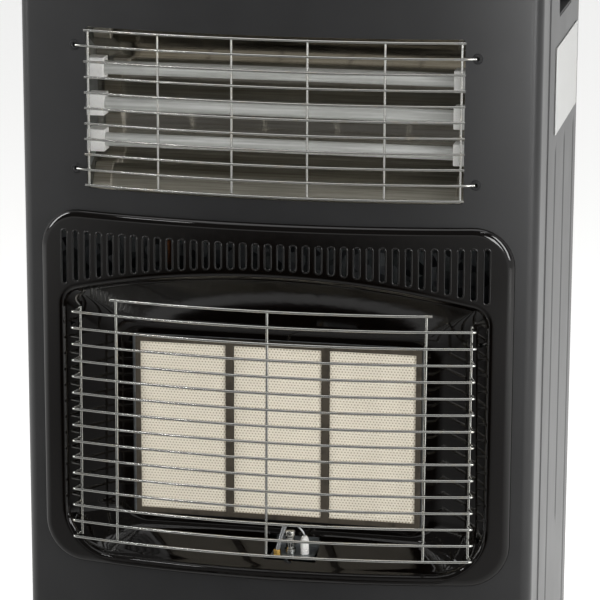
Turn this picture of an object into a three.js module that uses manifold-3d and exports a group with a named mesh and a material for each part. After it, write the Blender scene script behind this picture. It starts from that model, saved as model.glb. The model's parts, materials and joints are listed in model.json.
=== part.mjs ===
// A portable gas cabinet heater: a sheet-metal cabinet on four casters with a three-plaque gas burner
// low in its front, three quartz heating tubes above it, controls on top and a bottle bay behind.
// Millimetres, +Z up. The front faces -Y. The origin is on the floor, under the middle of the object.
import * as THREE from "three";
import { mergeVertices } from "three/addons/utils/BufferGeometryUtils.js";
import Module from "manifold-3d";

const wasm = await Module();
wasm.setup();

// ---- Driving dimensions ---------------------------------------------------------------------------

const gap = 0.3; // running and seating clearance between neighbouring pieces
const sheet = 1.2; // cabinet sheet steel

// Cabinet. Inside its group y = 0 is where the front panel's rounded corner meets the side panel.
const width = 420;
const half = width / 2;
const sideDepth = 264;
const bodyBottom = 58;
const bodyTop = 696;
const bowRadius = 742; // the front panel's bow, seen from above
const cornerRadius = 12;
const frontFlange = 14; // return flanges behind the front panel's corners
const rearFlange = 28;
const sideInset = 1.2; // the side panel's flat stands this far inside the cabinet's full width
const frontStripDepth = 56; // plain strip behind the front corner, sloping in before the step
const frontStripFall = 3.5;
const grooveAt = [109.6, 173.3, 240.3]; // pressed grooves of the side panel, from the front edge
const grooveHalfWidth = 4;
const grooveDepth = 1.6;
const shortGroove = 1; // index of the groove that stops above the base
const grooveTop = 554;
const shortGrooveEnd = 202;
const grip = { front: 115.5, length: 88, bottom: 654.5, height: 30, depth: 22, wall: 1.5 };
const label = { front: 96, length: 152, bottom: 560.5, height: 71.5, thickness: 0.8 };
const topPanel = { height: 12, edge: 4, wall: 1.5 };
const base = { thickness: 1.5, flange: 15 };
const bottlePad = { radius: 135, height: 1.5 }; // embossed round seat for the gas bottle's foot ring
const apron = { inset: 5.5, lip: 8 }; // the base's tongue under the rear cover
const rearCover = { halfWidth: half - 24, depth: 84, bottom: 60.5, top: 610, chamfer: 22 };
const louvre = { halfLength: 62, height: 6, pitch: 16, count: 6, firstZ: [130, 460] };
const rearRail = { halfWidth: half - 6 };

// Heights in the front are set out from the line that the tops of the bezel's slots stand on.
const slotLine = 490;

// Burner bezel: one pressed, bowed sheet with a slotted brow, a mouth and a dish behind it.
const bezel = {
  halfWidth: 193, top: 17.5, bottom: -279, corner: 33, proud: 4.7, edge: 3, sheet: 1.2,
};
const archFall = 8.15e-4; // fall of the mouth's arch and of the slots' ends: this times x squared
const mouth = { halfWidth: 174.3, top: -25.3, bottom: -271.3, topCorner: 16, bottomCorner: 41 };
const mouthRoll = 4; // the rolled lip round the mouth
const slot = { count: 35, pitch: 10.1, width: 3.8, top: 0.5, middleEnd: -19.2 };
const panelOpening = { halfWidth: 184, top: 10, bottom: -275.5, corner: 26 };
const pilotOpening = { left: -6, right: 37, bottom: -267, top: -246 };

// Burner: three ceramic plaques clamped on a plenum by a thin retainer.
const plaque = { width: 72.6, height: 144.8, thickness: 12, centre: -164.1 };
const plaqueSetBack = 34.7; // from the front panel's middle to the plaques' faces
const retainer = { sheet: 1.2, lap: 2, rim: 2.2, stripWidth: 6 };
const plaquePitch = plaque.width + retainer.stripWidth + 2 * gap;
const fieldHalfWidth = plaquePitch + plaque.width / 2;
const fieldHalfHeight = plaque.height / 2;

// The dish's flat floor and the opening in it, round the field of plaques.
const dishFloor = {
  halfWidth: fieldHalfWidth + 14.5, top: plaque.centre + fieldHalfHeight + 11.7,
  bottom: plaque.centre - fieldHalfHeight - 13.5, corner: 10,
};
const dishOpening = {
  halfWidth: fieldHalfWidth + 5.7, top: plaque.centre + fieldHalfHeight + 4.1,
  bottom: plaque.centre - fieldHalfHeight - 4.1, corner: 2,
};
const plenum = { depth: 20, wall: 1.5, flange: 8, flangeSheet: 1.5 };
const guardRod = 1.15; // half of a burner guard rod's thickness
const guard = {
  halfWidth: 164.6, bow: 17.9, lean: 3.2, standOff: 9.4, top: -65.2, pitch: 13.54, count: 15,
  uprightAt: 126.2, returnDepth: 12, returnIn: 4.4, bend: 4, shortHalf: 131, shortRise: 12.8,
  prongDepth: 26, prongOut: 3.4,
};
const guardHoleRadius = 3;

// Pilot group, in front of the plenum's lower edge.
const pilot = {
  plateTop: 227.2, plateSheet: 1.2, left: -2, right: 34, frontSetBack: 10.36496, backSetBack: 43.56496,
};
const pilotBurner = { x: 13.4, setBack: 22.36496, radius: 3.6, height: 20 };
const thermocouple = { x: 4, setBack: 15.16496, lean: 6.6, radius: 2, height: 27 };
const electrode = { x: 25.4, setBack: 22.36496, radius: 3.6, sleeve: 15, rod: 0.9 };

// Gas way.
const pipeRadius = 4;
const pilotPipeRadius = 2;
const manifold = { z: 200, radius: 7, mixerRadius: 10, setBack: 54.36496 };
const shieldBehindPlenum = 11;
const valve = { x: -plaquePitch - 20.8, halfWidth: 26, halfDepth: 20, bottom: 664, height: 30, neck: 9 };
const nozzle = { radius: 6, length: 34, barbs: 4 };

// Electric elements.
const windowHalfWidth = 152;
const windowBottom = 36.2;
const windowTop = 166.4;
const tube = { radius: 5.5, top: 130.6, pitch: 29.25, half: 149, setBack: 37.3 };
const cap = { inner: 141.2, length: 14, height: 17.5, depth: 15, bore: 9.4 };
const reflector = { sheet: 1, top: 170.5, bottom: 32.5, backTop: 143, backBottom: 59, depth: 66 };
const endPlate = { thickness: 1.2 };
const upperRod = 1; // half of an upper guard rod's thickness
const upperGuard = {
  halfWidth: 152.7, bow: 15.1, standOff: 2.4, top: 163.8, pitch: 12.49, count: 11,
  uprights: [30.3, 90.8, 149.6], prongRows: [1, 9], prongX: 161.2, prongDepth: 12,
};
const prongHoleRadius = 3;

// Controls on the top.
const consoleBox = {
  halfWidth: 150, front: sideDepth - 114, back: sideDepth - 12, height: 11.2, wall: 2,
};
const spindle = { radius: 4, top: 733, flat: 2.6 };
const knob = { radius: 22, height: 17, rise: 4.5, travel: 4, gripHalf: 5 };
const piezo = { x: -28, radius: 9, flange: 12, bore: 6.4, button: 6, travel: 6 };
const rocker = { at: [52, 100], halfWidth: 9, halfLength: 11.8, tilt: 8, pivotDrop: 1.5, rise: 5 };
const rockerHousing = { wall: 3, flange: 3, bottomDrop: 22 };
const bezelLip = 1.5; // thickness of the flanges that sit on the console
const cordGland = { x: 150, z: 650, radius: 9, nut: 13 };
const tiltSwitch = { x: 160, behindShield: 13.7, width: 30, depth: 26, height: 36 };

// Casters.
const caster = {
  x: half - 40, beforeShield: 13.3, fromRear: 29, wheelRadius: 20, wheelWidth: 18, trail: 16, pin: 3, stem: 5,
  crown: 42.4, crownSheet: 2.4, cheek: 2.5, socketRadius: 10, socketBottom: 46, socketTop: 70,
};

// ---- Values worked out from them ------------------------------------------------------------------

const bowCentreY = Math.sqrt((bowRadius - cornerRadius) ** 2 - (half - cornerRadius) ** 2);
const faceY = bowCentreY - bowRadius; // the front panel's foremost line
const plaqueFaceY = faceY + plaqueSetBack;
const plaqueBackY = plaqueFaceY + plaque.thickness;
const plenumBackY = plaqueBackY + plenum.depth;
const shieldY = plenumBackY + shieldBehindPlenum;
const casterY = [shieldY - caster.beforeShield, sideDepth - caster.fromRear];
const manifoldY = faceY + manifold.setBack;
const pilotBurnerY = faceY + pilotBurner.setBack;
const thermocoupleY = faceY + thermocouple.setBack;
const electrodeY = faceY + electrode.setBack;
const pilotFrontY = faceY + pilot.frontSetBack;
const pilotBackY = faceY + pilot.backSetBack;
const floorY = plaqueFaceY + 2; // the dish's flat floor
const guardY = panelY(guard.halfWidth) - guard.standOff;
const upperGuardY = panelY(upperGuard.halfWidth) - upperGuard.standOff;
const guardFrontY = guardY - guard.lean - guard.bow - guardRod;
const rearY = sideDepth + gap + rearCover.depth;
const sideX = half - sideInset;
const baseHalfWidth = half - frontStripFall - sheet - gap;
const topPanelBottom = bodyTop + gap;
const topPanelTop = topPanelBottom + topPanel.height;
const consoleTop = topPanelTop + gap + consoleBox.height;
const rodZ = (row) => slotLine + guard.top - row * guard.pitch;
const tubeZ = (row) => slotLine + tube.top - row * tube.pitch;
const tubeY = faceY + tube.setBack;
const controlY = (consoleBox.front + consoleBox.back) / 2;

// ---- Shape helpers --------------------------------------------------------------------------------

// The y of the front panel's face at x, or of a face set in behind it.
function panelY(x, inset = 0) {
  return bowCentreY - Math.sqrt((bowRadius - inset) ** 2 - x * x);
}

// The y of the bezel's face at x.
function bezelY(x) {
  return panelY(x) - bezel.proud;
}

// A closed geometry as a solid, with its faces turned outwards.
function solidFrom(geometry) {
  const bare = geometry.index ? geometry.toNonIndexed() : geometry.clone();
  bare.deleteAttribute("normal");
  bare.deleteAttribute("uv");
  const merged = mergeVertices(bare, 1e-4);
  const corners = merged.index.array;
  const kept = [];
  for (let i = 0; i < corners.length; i += 3) {
    const [a, b, c] = corners.slice(i, i + 3);
    if (a !== b && b !== c && c !== a) kept.push(a, b, c);
  }
  const build = (triVerts) =>
    new wasm.Manifold(
      new wasm.Mesh({ numProp: 3, vertProperties: merged.attributes.position.array, triVerts }),
    );
  const made = build(new Uint32Array(kept));
  return made.volume() > 0 ? made : build(new Uint32Array(kept.reverse()));
}

const join = (first, ...rest) => rest.reduce((whole, piece) => whole.add(piece), first);
const cut = (whole, ...tools) => tools.reduce((left, tool) => left.subtract(tool), whole);

function block(x0, x1, y0, y1, z0, z1) {
  const box = new THREE.BoxGeometry(x1 - x0, y1 - y0, z1 - z0);
  return solidFrom(box.translate((x0 + x1) / 2, (y0 + y1) / 2, (z0 + z1) / 2));
}

// A flat outline pushed along an axis. Its points are (x, y) for "z", (x, z) for "y", (y, z) for "x".
function prism(points, axis, from, to) {
  const shape = new THREE.Shape(points.map(([a, b]) => new THREE.Vector2(a, b)));
  const body = new THREE.ExtrudeGeometry(shape, { depth: to - from, bevelEnabled: false });
  const place = {
    z: new THREE.Matrix4().makeTranslation(0, 0, from),
    y: new THREE.Matrix4().set(1, 0, 0, 0, 0, 0, -1, to, 0, 1, 0, 0, 0, 0, 0, 1),
    x: new THREE.Matrix4().set(0, 0, 1, from, 1, 0, 0, 0, 0, 1, 0, 0, 0, 0, 0, 1),
  };
  return solidFrom(body.applyMatrix4(place[axis]));
}

// A profile of (radius, height) points turned about a line along the axis.
function turned(profile, axis, [x, y, z], sides = 20, turn = 0) {
  const line = profile.map(([radius, height]) => new THREE.Vector2(radius, height));
  const body = new THREE.LatheGeometry(line, sides).rotateY(turn);
  if (axis === "z") body.rotateX(Math.PI / 2);
  if (axis === "x") body.rotateZ(-Math.PI / 2);
  return solidFrom(body.translate(x, y, z));
}

const rod = (radius, from, to, axis, at, sides, turn) =>
  turned([[0, from], [radius, from], [radius, to], [0, to]], axis, at, sides, turn);

// Rings of equal length joined one to the next: capped at both ends, or closed on the first ring.
function loft(rings, closed = false) {
  const count = rings[0].length;
  const corners = [];
  const quad = (a, b, c, d) => corners.push(...a, ...b, ...c, ...a, ...c, ...d);
  const steps = closed ? rings.length : rings.length - 1;
  for (let i = 0; i < steps; i++) {
    const here = rings[i];
    const next = rings[(i + 1) % rings.length];
    for (let k = 0; k < count; k++) {
      const m = (k + 1) % count;
      quad(here[k], here[m], next[m], next[k]);
    }
  }
  if (!closed) {
    const last = rings[rings.length - 1];
    for (let k = 1; k < count - 1; k++) {
      corners.push(...rings[0][0], ...rings[0][k + 1], ...rings[0][k]);
      corners.push(...last[0], ...last[k], ...last[k + 1]);
    }
  }
  const body = new THREE.BufferGeometry();
  body.setAttribute("position", new THREE.Float32BufferAttribute(corners, 3));
  return solidFrom(body);
}

// A bar of even section along straight runs, mitred where they meet. up is square to the first run.
function bar(points, radius, sides, up = [0, 0, 1]) {
  const path = points.map((p) => new THREE.Vector3(...p));
  const runs = path.slice(1).map((p, i) => p.clone().sub(path[i]).normalize());
  const across = new THREE.Vector3(...up);
  const aside = new THREE.Vector3().crossVectors(runs[0], across).normalize();
  let offsets = [];
  for (let k = 0; k < sides; k++) {
    const angle = ((k + 0.5) / sides) * 2 * Math.PI;
    const reach = radius / Math.cos(Math.PI / sides);
    const offset = across.clone().multiplyScalar(reach * Math.cos(angle));
    offsets.push(offset.addScaledVector(aside, reach * Math.sin(angle)));
  }
  const rings = path.map((p, i) => {
    const along = runs[Math.max(i - 1, 0)];
    const next = runs[Math.min(i, runs.length - 1)];
    const mitre = along.clone().add(next).normalize();
    offsets = offsets.map((o) =>
      o.clone().addScaledVector(along, -o.dot(mitre) / along.dot(mitre)),
    );
    const ring = offsets.map((o) => p.clone().add(o).toArray());
    offsets = offsets.map((o) => o.clone().addScaledVector(next, -o.dot(next)));
    return ring;
  });
  return loft(rings);
}

// Round stretch: points on an arc about a centre, from one angle to another, both ends included.
function arc(cx, cy, radius, from, to, steps) {
  return Array.from({ length: steps + 1 }, (_, i) => {
    const angle = from + ((to - from) * i) / steps;
    return [cx + radius * Math.cos(angle), cy + radius * Math.sin(angle)];
  });
}

function roundedBox(left, right, bottom, top, radius, steps = 3) {
  const quarter = Math.PI / 2;
  return [
    ...arc(right - radius, top - radius, radius, 0, quarter, steps),
    ...arc(left + radius, top - radius, radius, quarter, 2 * quarter, steps),
    ...arc(left + radius, bottom + radius, radius, 2 * quarter, 3 * quarter, steps),
    ...arc(right - radius, bottom + radius, radius, 3 * quarter, 4 * quarter, steps),
  ];
}

// The front panel's outline seen from above, left to right, set in from the outer face.
function frontLine(inset, bowSteps = 16, cornerSteps = 3) {
  const reach = Math.asin((half - cornerRadius) / (bowRadius - cornerRadius));
  const bow = arc(0, bowCentreY, bowRadius - inset, -Math.PI / 2 - reach, -Math.PI / 2 + reach, bowSteps);
  const turn = arc(half - cornerRadius, 0, cornerRadius - inset, -Math.PI / 2 + reach, 0, cornerSteps);
  const right = turn.slice(1);
  const left = right.map(([x, y]) => [-x, y]).reverse();
  return [...left, ...bow, ...right];
}

// The whole cabinet seen from above, set in all round.
function cabinetPlan(inset) {
  const back = sideDepth - inset;
  return [...frontLine(inset), [half - inset, back], [-(half - inset), back]];
}

// ---- Cabinet --------------------------------------------------------------------------------------

function frontPanel() {
  const lip = gap + 0.4;
  const outer = frontLine(0);
  const inner = frontLine(sheet).reverse();
  const flangeEnd = half - frontFlange;
  const plan = [
    ...outer, [half, lip], [flangeEnd, lip], [flangeEnd, lip - sheet], [half - sheet, lip - sheet],
    ...inner.slice(1, -1),
    [sheet - half, lip - sheet], [-flangeEnd, lip - sheet], [-flangeEnd, lip], [-half, lip],
  ];
  const { halfWidth, top, bottom, corner } = panelOpening;
  const front = faceY - 10;
  const window = roundedBox(
    -windowHalfWidth, windowHalfWidth, slotLine + windowBottom, slotLine + windowTop, 3, 2,
  );
  const opening = roundedBox(-halfWidth, halfWidth, slotLine + bottom, slotLine + top, corner, 5);
  const holes = [-1, 1].flatMap((side) =>
    upperGuard.prongRows.map((row) =>
      rod(prongHoleRadius, front, 20, "y", [side * upperGuard.prongX, 0, upperRodZ(row)], 8),
    ),
  );
  return cut(
    prism(plan, "z", bodyBottom, bodyTop),
    prism(window, "y", front, -sheet * 2),
    prism(opening, "y", front, -sheet * 2),
    ...holes,
  );
}

// The side panel seen from above: front flange, plain strip, step, grooved flat and rear flange.
function sidePlan(side, grooves) {
  const front = gap + 0.4 + gap;
  const stripX = sideX + sideInset - frontStripFall;
  const outer = [[half - 0.2, front], [stripX, frontStripDepth - 2], [stripX, frontStripDepth]];
  outer.push([sideX, frontStripDepth + 2]);
  for (const y of grooves) {
    outer.push([sideX, y - grooveHalfWidth], [sideX - grooveDepth, y], [sideX, y + grooveHalfWidth]);
  }
  outer.push([sideX, sideDepth]);
  const inner = outer.slice(1, -1).map(([x, y]) => [x - sheet, y]).reverse();
  const plan = [
    [half - frontFlange, front], ...outer, [sideX - rearFlange, sideDepth],
    [sideX - rearFlange, sideDepth - sheet], [sideX - sheet, sideDepth - sheet], ...inner,
    [half - 0.2 - sheet, front + sheet], [half - frontFlange, front + sheet],
  ];
  return plan.map(([x, y]) => [side * x, y]);
}

function sidePanel(side) {
  const long = grooveAt.filter((_, i) => i !== shortGroove);
  const near = side > 0 ? sideX - 10 : -half;
  const window = block(
    near, near + 10 + sideInset, grip.front, grip.front + grip.length,
    grip.bottom, grip.bottom + grip.height,
  );
  return cut(
    join(
      prism(sidePlan(side, long), "z", bodyBottom, shortGrooveEnd),
      prism(sidePlan(side, grooveAt), "z", shortGrooveEnd, grooveTop),
      prism(sidePlan(side, []), "z", grooveTop, bodyTop),
    ),
    window,
  );
}

// A cup set in the side panel's cut-out, open to the outside.
function handGrip(side) {
  const outer = [sideX - grip.depth, sideX - gap];
  const place = ([from, to]) => (side > 0 ? [from, to] : [-to, -from]);
  const y = [grip.front + gap, grip.front + grip.length - gap];
  const z = [grip.bottom + gap, grip.bottom + grip.height - gap];
  const w = grip.wall;
  return cut(
    block(...place(outer), ...y, ...z),
    block(...place([sideX - grip.depth + w, sideX + 1]), y[0] + w, y[1] - w, z[0] + w, z[1] - w),
  );
}

function topCover() {
  const ring = (inset, z) => cabinetPlan(inset).map(([x, y]) => [x, y, z]);
  const shell = loft([
    ring(0, topPanelBottom), ring(0, topPanelTop - topPanel.edge), ring(topPanel.edge, topPanelTop),
  ]);
  const { wall, edge } = topPanel;
  const mitre = wall * 0.4;
  const hollow = loft([
    ring(wall, topPanelBottom - 1), ring(wall, topPanelTop - edge - mitre),
    ring(edge + mitre, topPanelTop - wall),
  ]);
  const holes = [
    rod(spindle.radius + 1, bodyTop, topPanelTop + 1, "z", [valve.x, controlY, 0], 16),
    rod(piezo.radius + gap, bodyTop, topPanelTop + 1, "z", [piezo.x, controlY, 0], 16),
    ...rocker.at.map((x) => rockerHole(x, bodyTop, topPanelTop + 1)),
  ];
  return cut(shell, hollow, ...holes);
}

function rockerHole(x, from, to) {
  const across = rockerPocket.halfWidth + rockerHousing.wall + gap;
  const along = rockerPocket.halfLength + rockerHousing.wall + gap;
  return block(x - across, x + across, controlY - along, controlY + along, from, to);
}

// The base: a shallow tray with caster sockets and an embossed seat for the gas bottle. Its tongue
// carries on under the rear cover and is turned down at its edge.
function basePlate() {
  const back = sideDepth - sheet - gap;
  const within = (extra, from, to) => {
    const reach = baseHalfWidth - extra;
    const front = frontLine(sheet + gap + extra);
    const plan = [...front, [half, back - extra], [-half, back - extra]];
    return prism(plan, "z", from, to).intersect(block(-reach, reach, faceY, back, from, to));
  };
  const notchX = half - frontFlange - gap;
  const notchY = 0.4 + 2 * (gap + gap) + sheet;
  const top = bodyBottom + base.flange;
  const tray = cut(
    within(0, bodyBottom, top),
    within(base.thickness, bodyBottom + base.thickness, top + 1),
    block(notchX, half, -cornerRadius - 20, notchY, 0, bodyTop),
    block(-half, -notchX, -cornerRadius - 20, notchY, 0, bodyTop),
  );
  const floorTop = bodyBottom + base.thickness;
  const reach = rearCover.halfWidth - apron.inset;
  const mouth = block(-reach, reach, back - base.thickness - 1, back + 1, floorTop, top + 1);
  const tongue = cut(
    join(
      prism(hoodPlan(apron.inset, back - 30), "z", bodyBottom, floorTop),
      prism(hoodPlan(apron.inset, sideDepth + gap), "z", bodyBottom - apron.lip, floorTop),
    ),
    prism(hoodPlan(apron.inset + base.thickness, sideDepth - 10), "z", 0, bodyBottom),
  );
  const padAt = [0, (shieldY + rearY) / 2, 0];
  const { radius, height } = bottlePad;
  const pad = rod(radius, bodyBottom, floorTop + height, "z", padAt, 48);
  const padHollow = rod(radius - base.thickness, 0, floorTop + height - base.thickness, "z", padAt, 48);
  const places = casterY.flatMap((y) => [[-caster.x, y, 0], [caster.x, y, 0]]);
  const bosses = places.map((at) =>
    rod(caster.socketRadius, caster.socketBottom, caster.socketTop, "z", at, 16),
  );
  const bores = places.map((at) =>
    rod(caster.stem + gap, caster.socketBottom - 1, caster.socketTop - 2, "z", at, 16),
  );
  return cut(join(cut(tray, mouth), tongue, pad, ...bosses), padHollow, ...bores);
}

function heatShield() {
  const side = baseHalfWidth;
  const z = [bodyBottom + base.thickness + gap, bodyTop - gap];
  const plate = block(-side, side, shieldY, shieldY + sheet, ...z);
  const lips = [-1, 1].map((s) => {
    const x = [s * side, s * (side - sheet)].sort((a, b) => a - b);
    return block(...x, shieldY, shieldY + 12, bodyBottom + base.flange + gap, z[1]);
  });
  const throughs = [
    rod(pipeRadius + 2, shieldY - 20, shieldY + 20, "y", [valve.x, 0, mainPipeZ], 12),
    rod(pilotPipeRadius + 2, shieldY - 20, shieldY + 20, "y", [pilotPipeX, 0, pilotPipeZ], 12),
  ];
  const footReach = baseHalfWidth - base.thickness - gap;
  const footTop = bodyBottom + base.flange + gap;
  const besideTray = [-1, 1].map((s) => {
    const x = [s * footReach, s * half].sort((a, b) => a - b);
    return block(...x, shieldY - 1, shieldY + 20, z[0] - 1, footTop);
  });
  return cut(join(plate, ...lips), ...throughs, ...besideTray);
}

// The rear cover's plan, set in all round, from a chosen y to its back.
function hoodPlan(inset, from) {
  const { halfWidth, chamfer } = rearCover;
  return [
    [-halfWidth + inset, from], [halfWidth - inset, from],
    [halfWidth - inset, rearY - chamfer], [halfWidth - chamfer, rearY - inset],
    [chamfer - halfWidth, rearY - inset], [inset - halfWidth, rearY - chamfer],
  ];
}

// A hood over the back of the bottle bay, open towards the bay and below, with two banks of louvres.
function rearHood() {
  const { depth, bottom, top } = rearCover;
  const front = sideDepth + gap;
  const slots = louvre.firstZ.flatMap((first) =>
    Array.from({ length: louvre.count }, (_, i) => {
      const z = first + i * louvre.pitch;
      return block(-louvre.halfLength, louvre.halfLength, front + 10, front + depth + 5, z, z + louvre.height);
    }),
  );
  return cut(
    prism(hoodPlan(0, front), "z", bottom, top),
    prism(hoodPlan(sheet, front - 1), "z", bottom - 1, top - sheet),
    ...slots,
  );
}

function rearCrossPanel() {
  const back = sideDepth - sheet - gap;
  const plate = block(
    -rearRail.halfWidth, rearRail.halfWidth, back - sheet, back, rearCover.top - 12, bodyTop - gap,
  );
  return cut(plate, rod(cordGland.radius + gap, back - 5, back + 5, "y", [cordGland.x, 0, cordGland.z], 16));
}

function ratingLabel() {
  const x = sideX + gap;
  const { front, length, bottom, height, thickness } = label;
  return block(x, x + thickness, front, front + length, bottom, bottom + height);
}

// ---- Burner ---------------------------------------------------------------------------------------

// An outline in x and z with an arched top: points left to right along the top, then round.
function mouthLine({ halfWidth, top, bottom, topCorner, bottomCorner, fall = 0 }) {
  const topSteps = 14;
  const cornerSteps = 4;
  const sideSteps = 3;
  const slope = Math.atan(2 * fall * (halfWidth - topCorner));
  const edgeX = halfWidth - topCorner * (1 - Math.sin(slope));
  const edgeZ = top - fall * edgeX * edgeX;
  const centreZ = edgeZ - topCorner * Math.cos(slope);
  const brow = Array.from({ length: topSteps / 2 }, (_, i) => {
    const x = (edgeX * i) / (topSteps / 2);
    return [x, top - fall * x * x];
  });
  const quarter = Math.PI / 2;
  const shoulder = arc(halfWidth - topCorner, centreZ, topCorner, quarter - slope, 0, cornerSteps);
  const footZ = bottom + bottomCorner;
  const side = Array.from({ length: sideSteps - 1 }, (_, i) => [
    halfWidth, centreZ + ((footZ - centreZ) * (i + 1)) / sideSteps,
  ]);
  const foot = arc(halfWidth - bottomCorner, footZ, bottomCorner, 0, -quarter, cornerSteps);
  const sillSteps = topSteps / 2 - 1;
  const sill = Array.from({ length: sillSteps }, (_, i) => [
    ((halfWidth - bottomCorner) * (sillSteps - i)) / (sillSteps + 1), bottom,
  ]);
  const right = [...brow, ...shoulder, ...side, ...foot, ...sill];
  const left = right.slice(1).map(([x, z]) => [-x, z]).reverse();
  return [...right, [0, bottom], ...left];
}

function grownMouth(out) {
  return {
    halfWidth: mouth.halfWidth + out, top: mouth.top + out, bottom: mouth.bottom - out,
    topCorner: mouth.topCorner + out, bottomCorner: mouth.bottomCorner + out, fall: archFall,
  };
}

function boxLine({ halfWidth, top, bottom, corner }, inset = 0) {
  return {
    halfWidth: halfWidth - inset, top: top - inset, bottom: bottom + inset,
    topCorner: Math.max(corner - inset, 1), bottomCorner: Math.max(corner - inset, 1),
  };
}

function burnerBezel() {
  const ring = (line, depthAt) => mouthLine(line).map(([x, z]) => [x, depthAt(x), slotLine + z]);
  const face = (back) => (x) => bezelY(x) + back;
  const flat = (y) => () => y;
  const t = bezel.sheet;
  const e = bezel.edge;
  const r = mouthRoll;
  const seat = (x) => panelY(x) - gap;
  const shell = loft(
    [
      ring(boxLine(bezel), seat),
      ring(boxLine(bezel), face(e)),
      ring(boxLine(bezel, e * 0.3), face(e * 0.3)),
      ring(boxLine(bezel, e), face(0)),
      ring(grownMouth(r * 0.7), face(0)),
      ring(grownMouth(0), face(r * 0.4)),
      ring(grownMouth(-r * 0.7), face(r * 1.5)),
      ring(boxLine(dishFloor), flat(floorY)),
      ring(boxLine(dishOpening), flat(floorY)),
      ring(boxLine(dishOpening), flat(floorY + t)),
      ring(boxLine(dishFloor, -t), flat(floorY + t)),
      ring(grownMouth(t - r * 0.7), face(r * 1.5 + t)),
      ring(grownMouth(t), face(r * 0.4 + t)),
      ring(grownMouth(r * 0.7), face(t)),
      ring(boxLine(bezel, e), face(t)),
      ring(boxLine(bezel, t), face(e)),
      ring(boxLine(bezel, t), seat),
    ],
    true,
  );
  const radius = slot.width / 2;
  const slots = Array.from({ length: slot.count }, (_, i) => {
    const x = (i - (slot.count - 1) / 2) * slot.pitch;
    const bottom = slotLine + slot.middleEnd - archFall * x * x;
    const outline = [
      ...arc(x, slotLine + slot.top - radius, radius, 0, Math.PI, 2),
      ...arc(x, bottom + radius, radius, Math.PI, 2 * Math.PI, 2),
    ];
    return prism(outline, "y", bezelY(x) - 3, bezelY(x) + 3);
  });
  const { left, right, bottom, top } = pilotOpening;
  const pilotHole = block(left, right, faceY + 8, floorY + 1, slotLine + bottom, slotLine + top);
  const guardHoles = prongRows.flatMap((row) =>
    [-1, 1].map((side) =>
      rod(guardHoleRadius, guardY + 5, floorY + 8, "y", [side * guard.halfWidth + side * 2.4, 0, rodZ(row)], 8),
    ),
  );
  return cut(shell, ...slots, pilotHole, ...guardHoles);
}

const prongRows = [1, guard.count - 2];

// The bowed front of a guard: points across it at one height.
function bowedRun(reach, y, z, { halfWidth, bow }, steps) {
  return Array.from({ length: steps + 1 }, (_, i) => {
    const x = -reach + (2 * reach * i) / steps;
    return [x, y - bow * (1 - (x / halfWidth) ** 2), z];
  });
}

// A corner between two runs taken off by a bend.
function bend(before, corner, after, size) {
  const [a, c, b] = [before, corner, after].map((p) => new THREE.Vector3(...p));
  const start = c.clone().addScaledVector(a.clone().sub(c).normalize(), size);
  const end = c.clone().addScaledVector(b.clone().sub(c).normalize(), size);
  const middle = start.clone().add(end).multiplyScalar(0.25).addScaledVector(c, 0.5);
  return [start, middle, end].map((p) => p.toArray());
}

function burnerGuard() {
  const bowSteps = 6;
  const leanAt = (row) => (guard.lean * row) / (guard.count - 1);
  const rows = Array.from({ length: guard.count }, (_, row) => {
    const z = rodZ(row);
    const y = guardY - leanAt(row);
    const front = bowedRun(guard.halfWidth, y, z, guard, bowSteps);
    const prong = prongRows.includes(row);
    const out = prong ? guard.prongOut : -guard.returnIn;
    const back = prong ? guard.prongDepth : guard.returnDepth;
    const leftEnd = [-guard.halfWidth - out, y + back, z];
    const rightEnd = [guard.halfWidth + out, y + back, z];
    const path = [
      leftEnd, ...bend(leftEnd, front[0], front[1], guard.bend), ...front.slice(1, -1),
      ...bend(front[bowSteps - 1], front[bowSteps], rightEnd, guard.bend), rightEnd,
    ];
    return bar(path, guardRod, 4);
  });
  const brow = bar(bowedRun(guard.shortHalf, guardY, rodZ(0) + guard.shortRise, guard, bowSteps), guardRod, 4);
  const behind = 2 * guardRod - 0.4;
  const last = guard.count - 1;
  const uprights = [-guard.uprightAt, 0, guard.uprightAt].map((x) => {
    const y = guardY - guard.bow * (1 - (x / guard.halfWidth) ** 2) + behind;
    const top = [x, y, rodZ(0) + guard.shortRise + guardRod];
    return bar([top, [x, y - leanAt(last), rodZ(last) - guardRod]], guardRod, 4, [0, 1, 0]);
  });
  const ties = [-1, 1].map((side) => {
    const x = side * (guard.halfWidth - guard.returnIn);
    const y = guardY + guard.returnDepth - guardRod;
    return bar([[x, y, rodZ(0) + 2], [x, y - leanAt(last), rodZ(last) - 2]], guardRod, 4, [0, 1, 0]);
  });
  return join(rows[0], ...rows.slice(1), ...uprights, ...ties, brow);
}

function ceramicPlaque() {
  const { width: w, height: h, thickness } = plaque;
  return block(-w / 2, w / 2, 0, thickness, -h / 2, h / 2);
}

const plaqueZ = slotLine + plaque.centre;

// A thin tray over the plaques' edges with a strip over each joint between them.
function plaqueRetainer() {
  const { sheet: t, lap, rim, stripWidth } = retainer;
  const w = fieldHalfWidth + gap;
  const h = fieldHalfHeight + gap;
  const front = plaqueFaceY - gap - t;
  const tray = cut(
    block(-w - rim, w + rim, front, plaqueBackY - 1, plaqueZ - h - rim, plaqueZ + h + rim),
    block(-w, w, plaqueFaceY - gap, plaqueBackY, plaqueZ - h, plaqueZ + h),
    block(lap - w, w - lap, front - 1, plaqueBackY, plaqueZ - h + lap, plaqueZ + h - lap),
  );
  const strips = [-1, 1].map((side) => {
    const x = (side * plaquePitch) / 2;
    return block(x - stripWidth / 2, x + stripWidth / 2, front, front + t, plaqueZ - h + 1, plaqueZ + h - 1);
  });
  return join(tray, ...strips);
}

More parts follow.
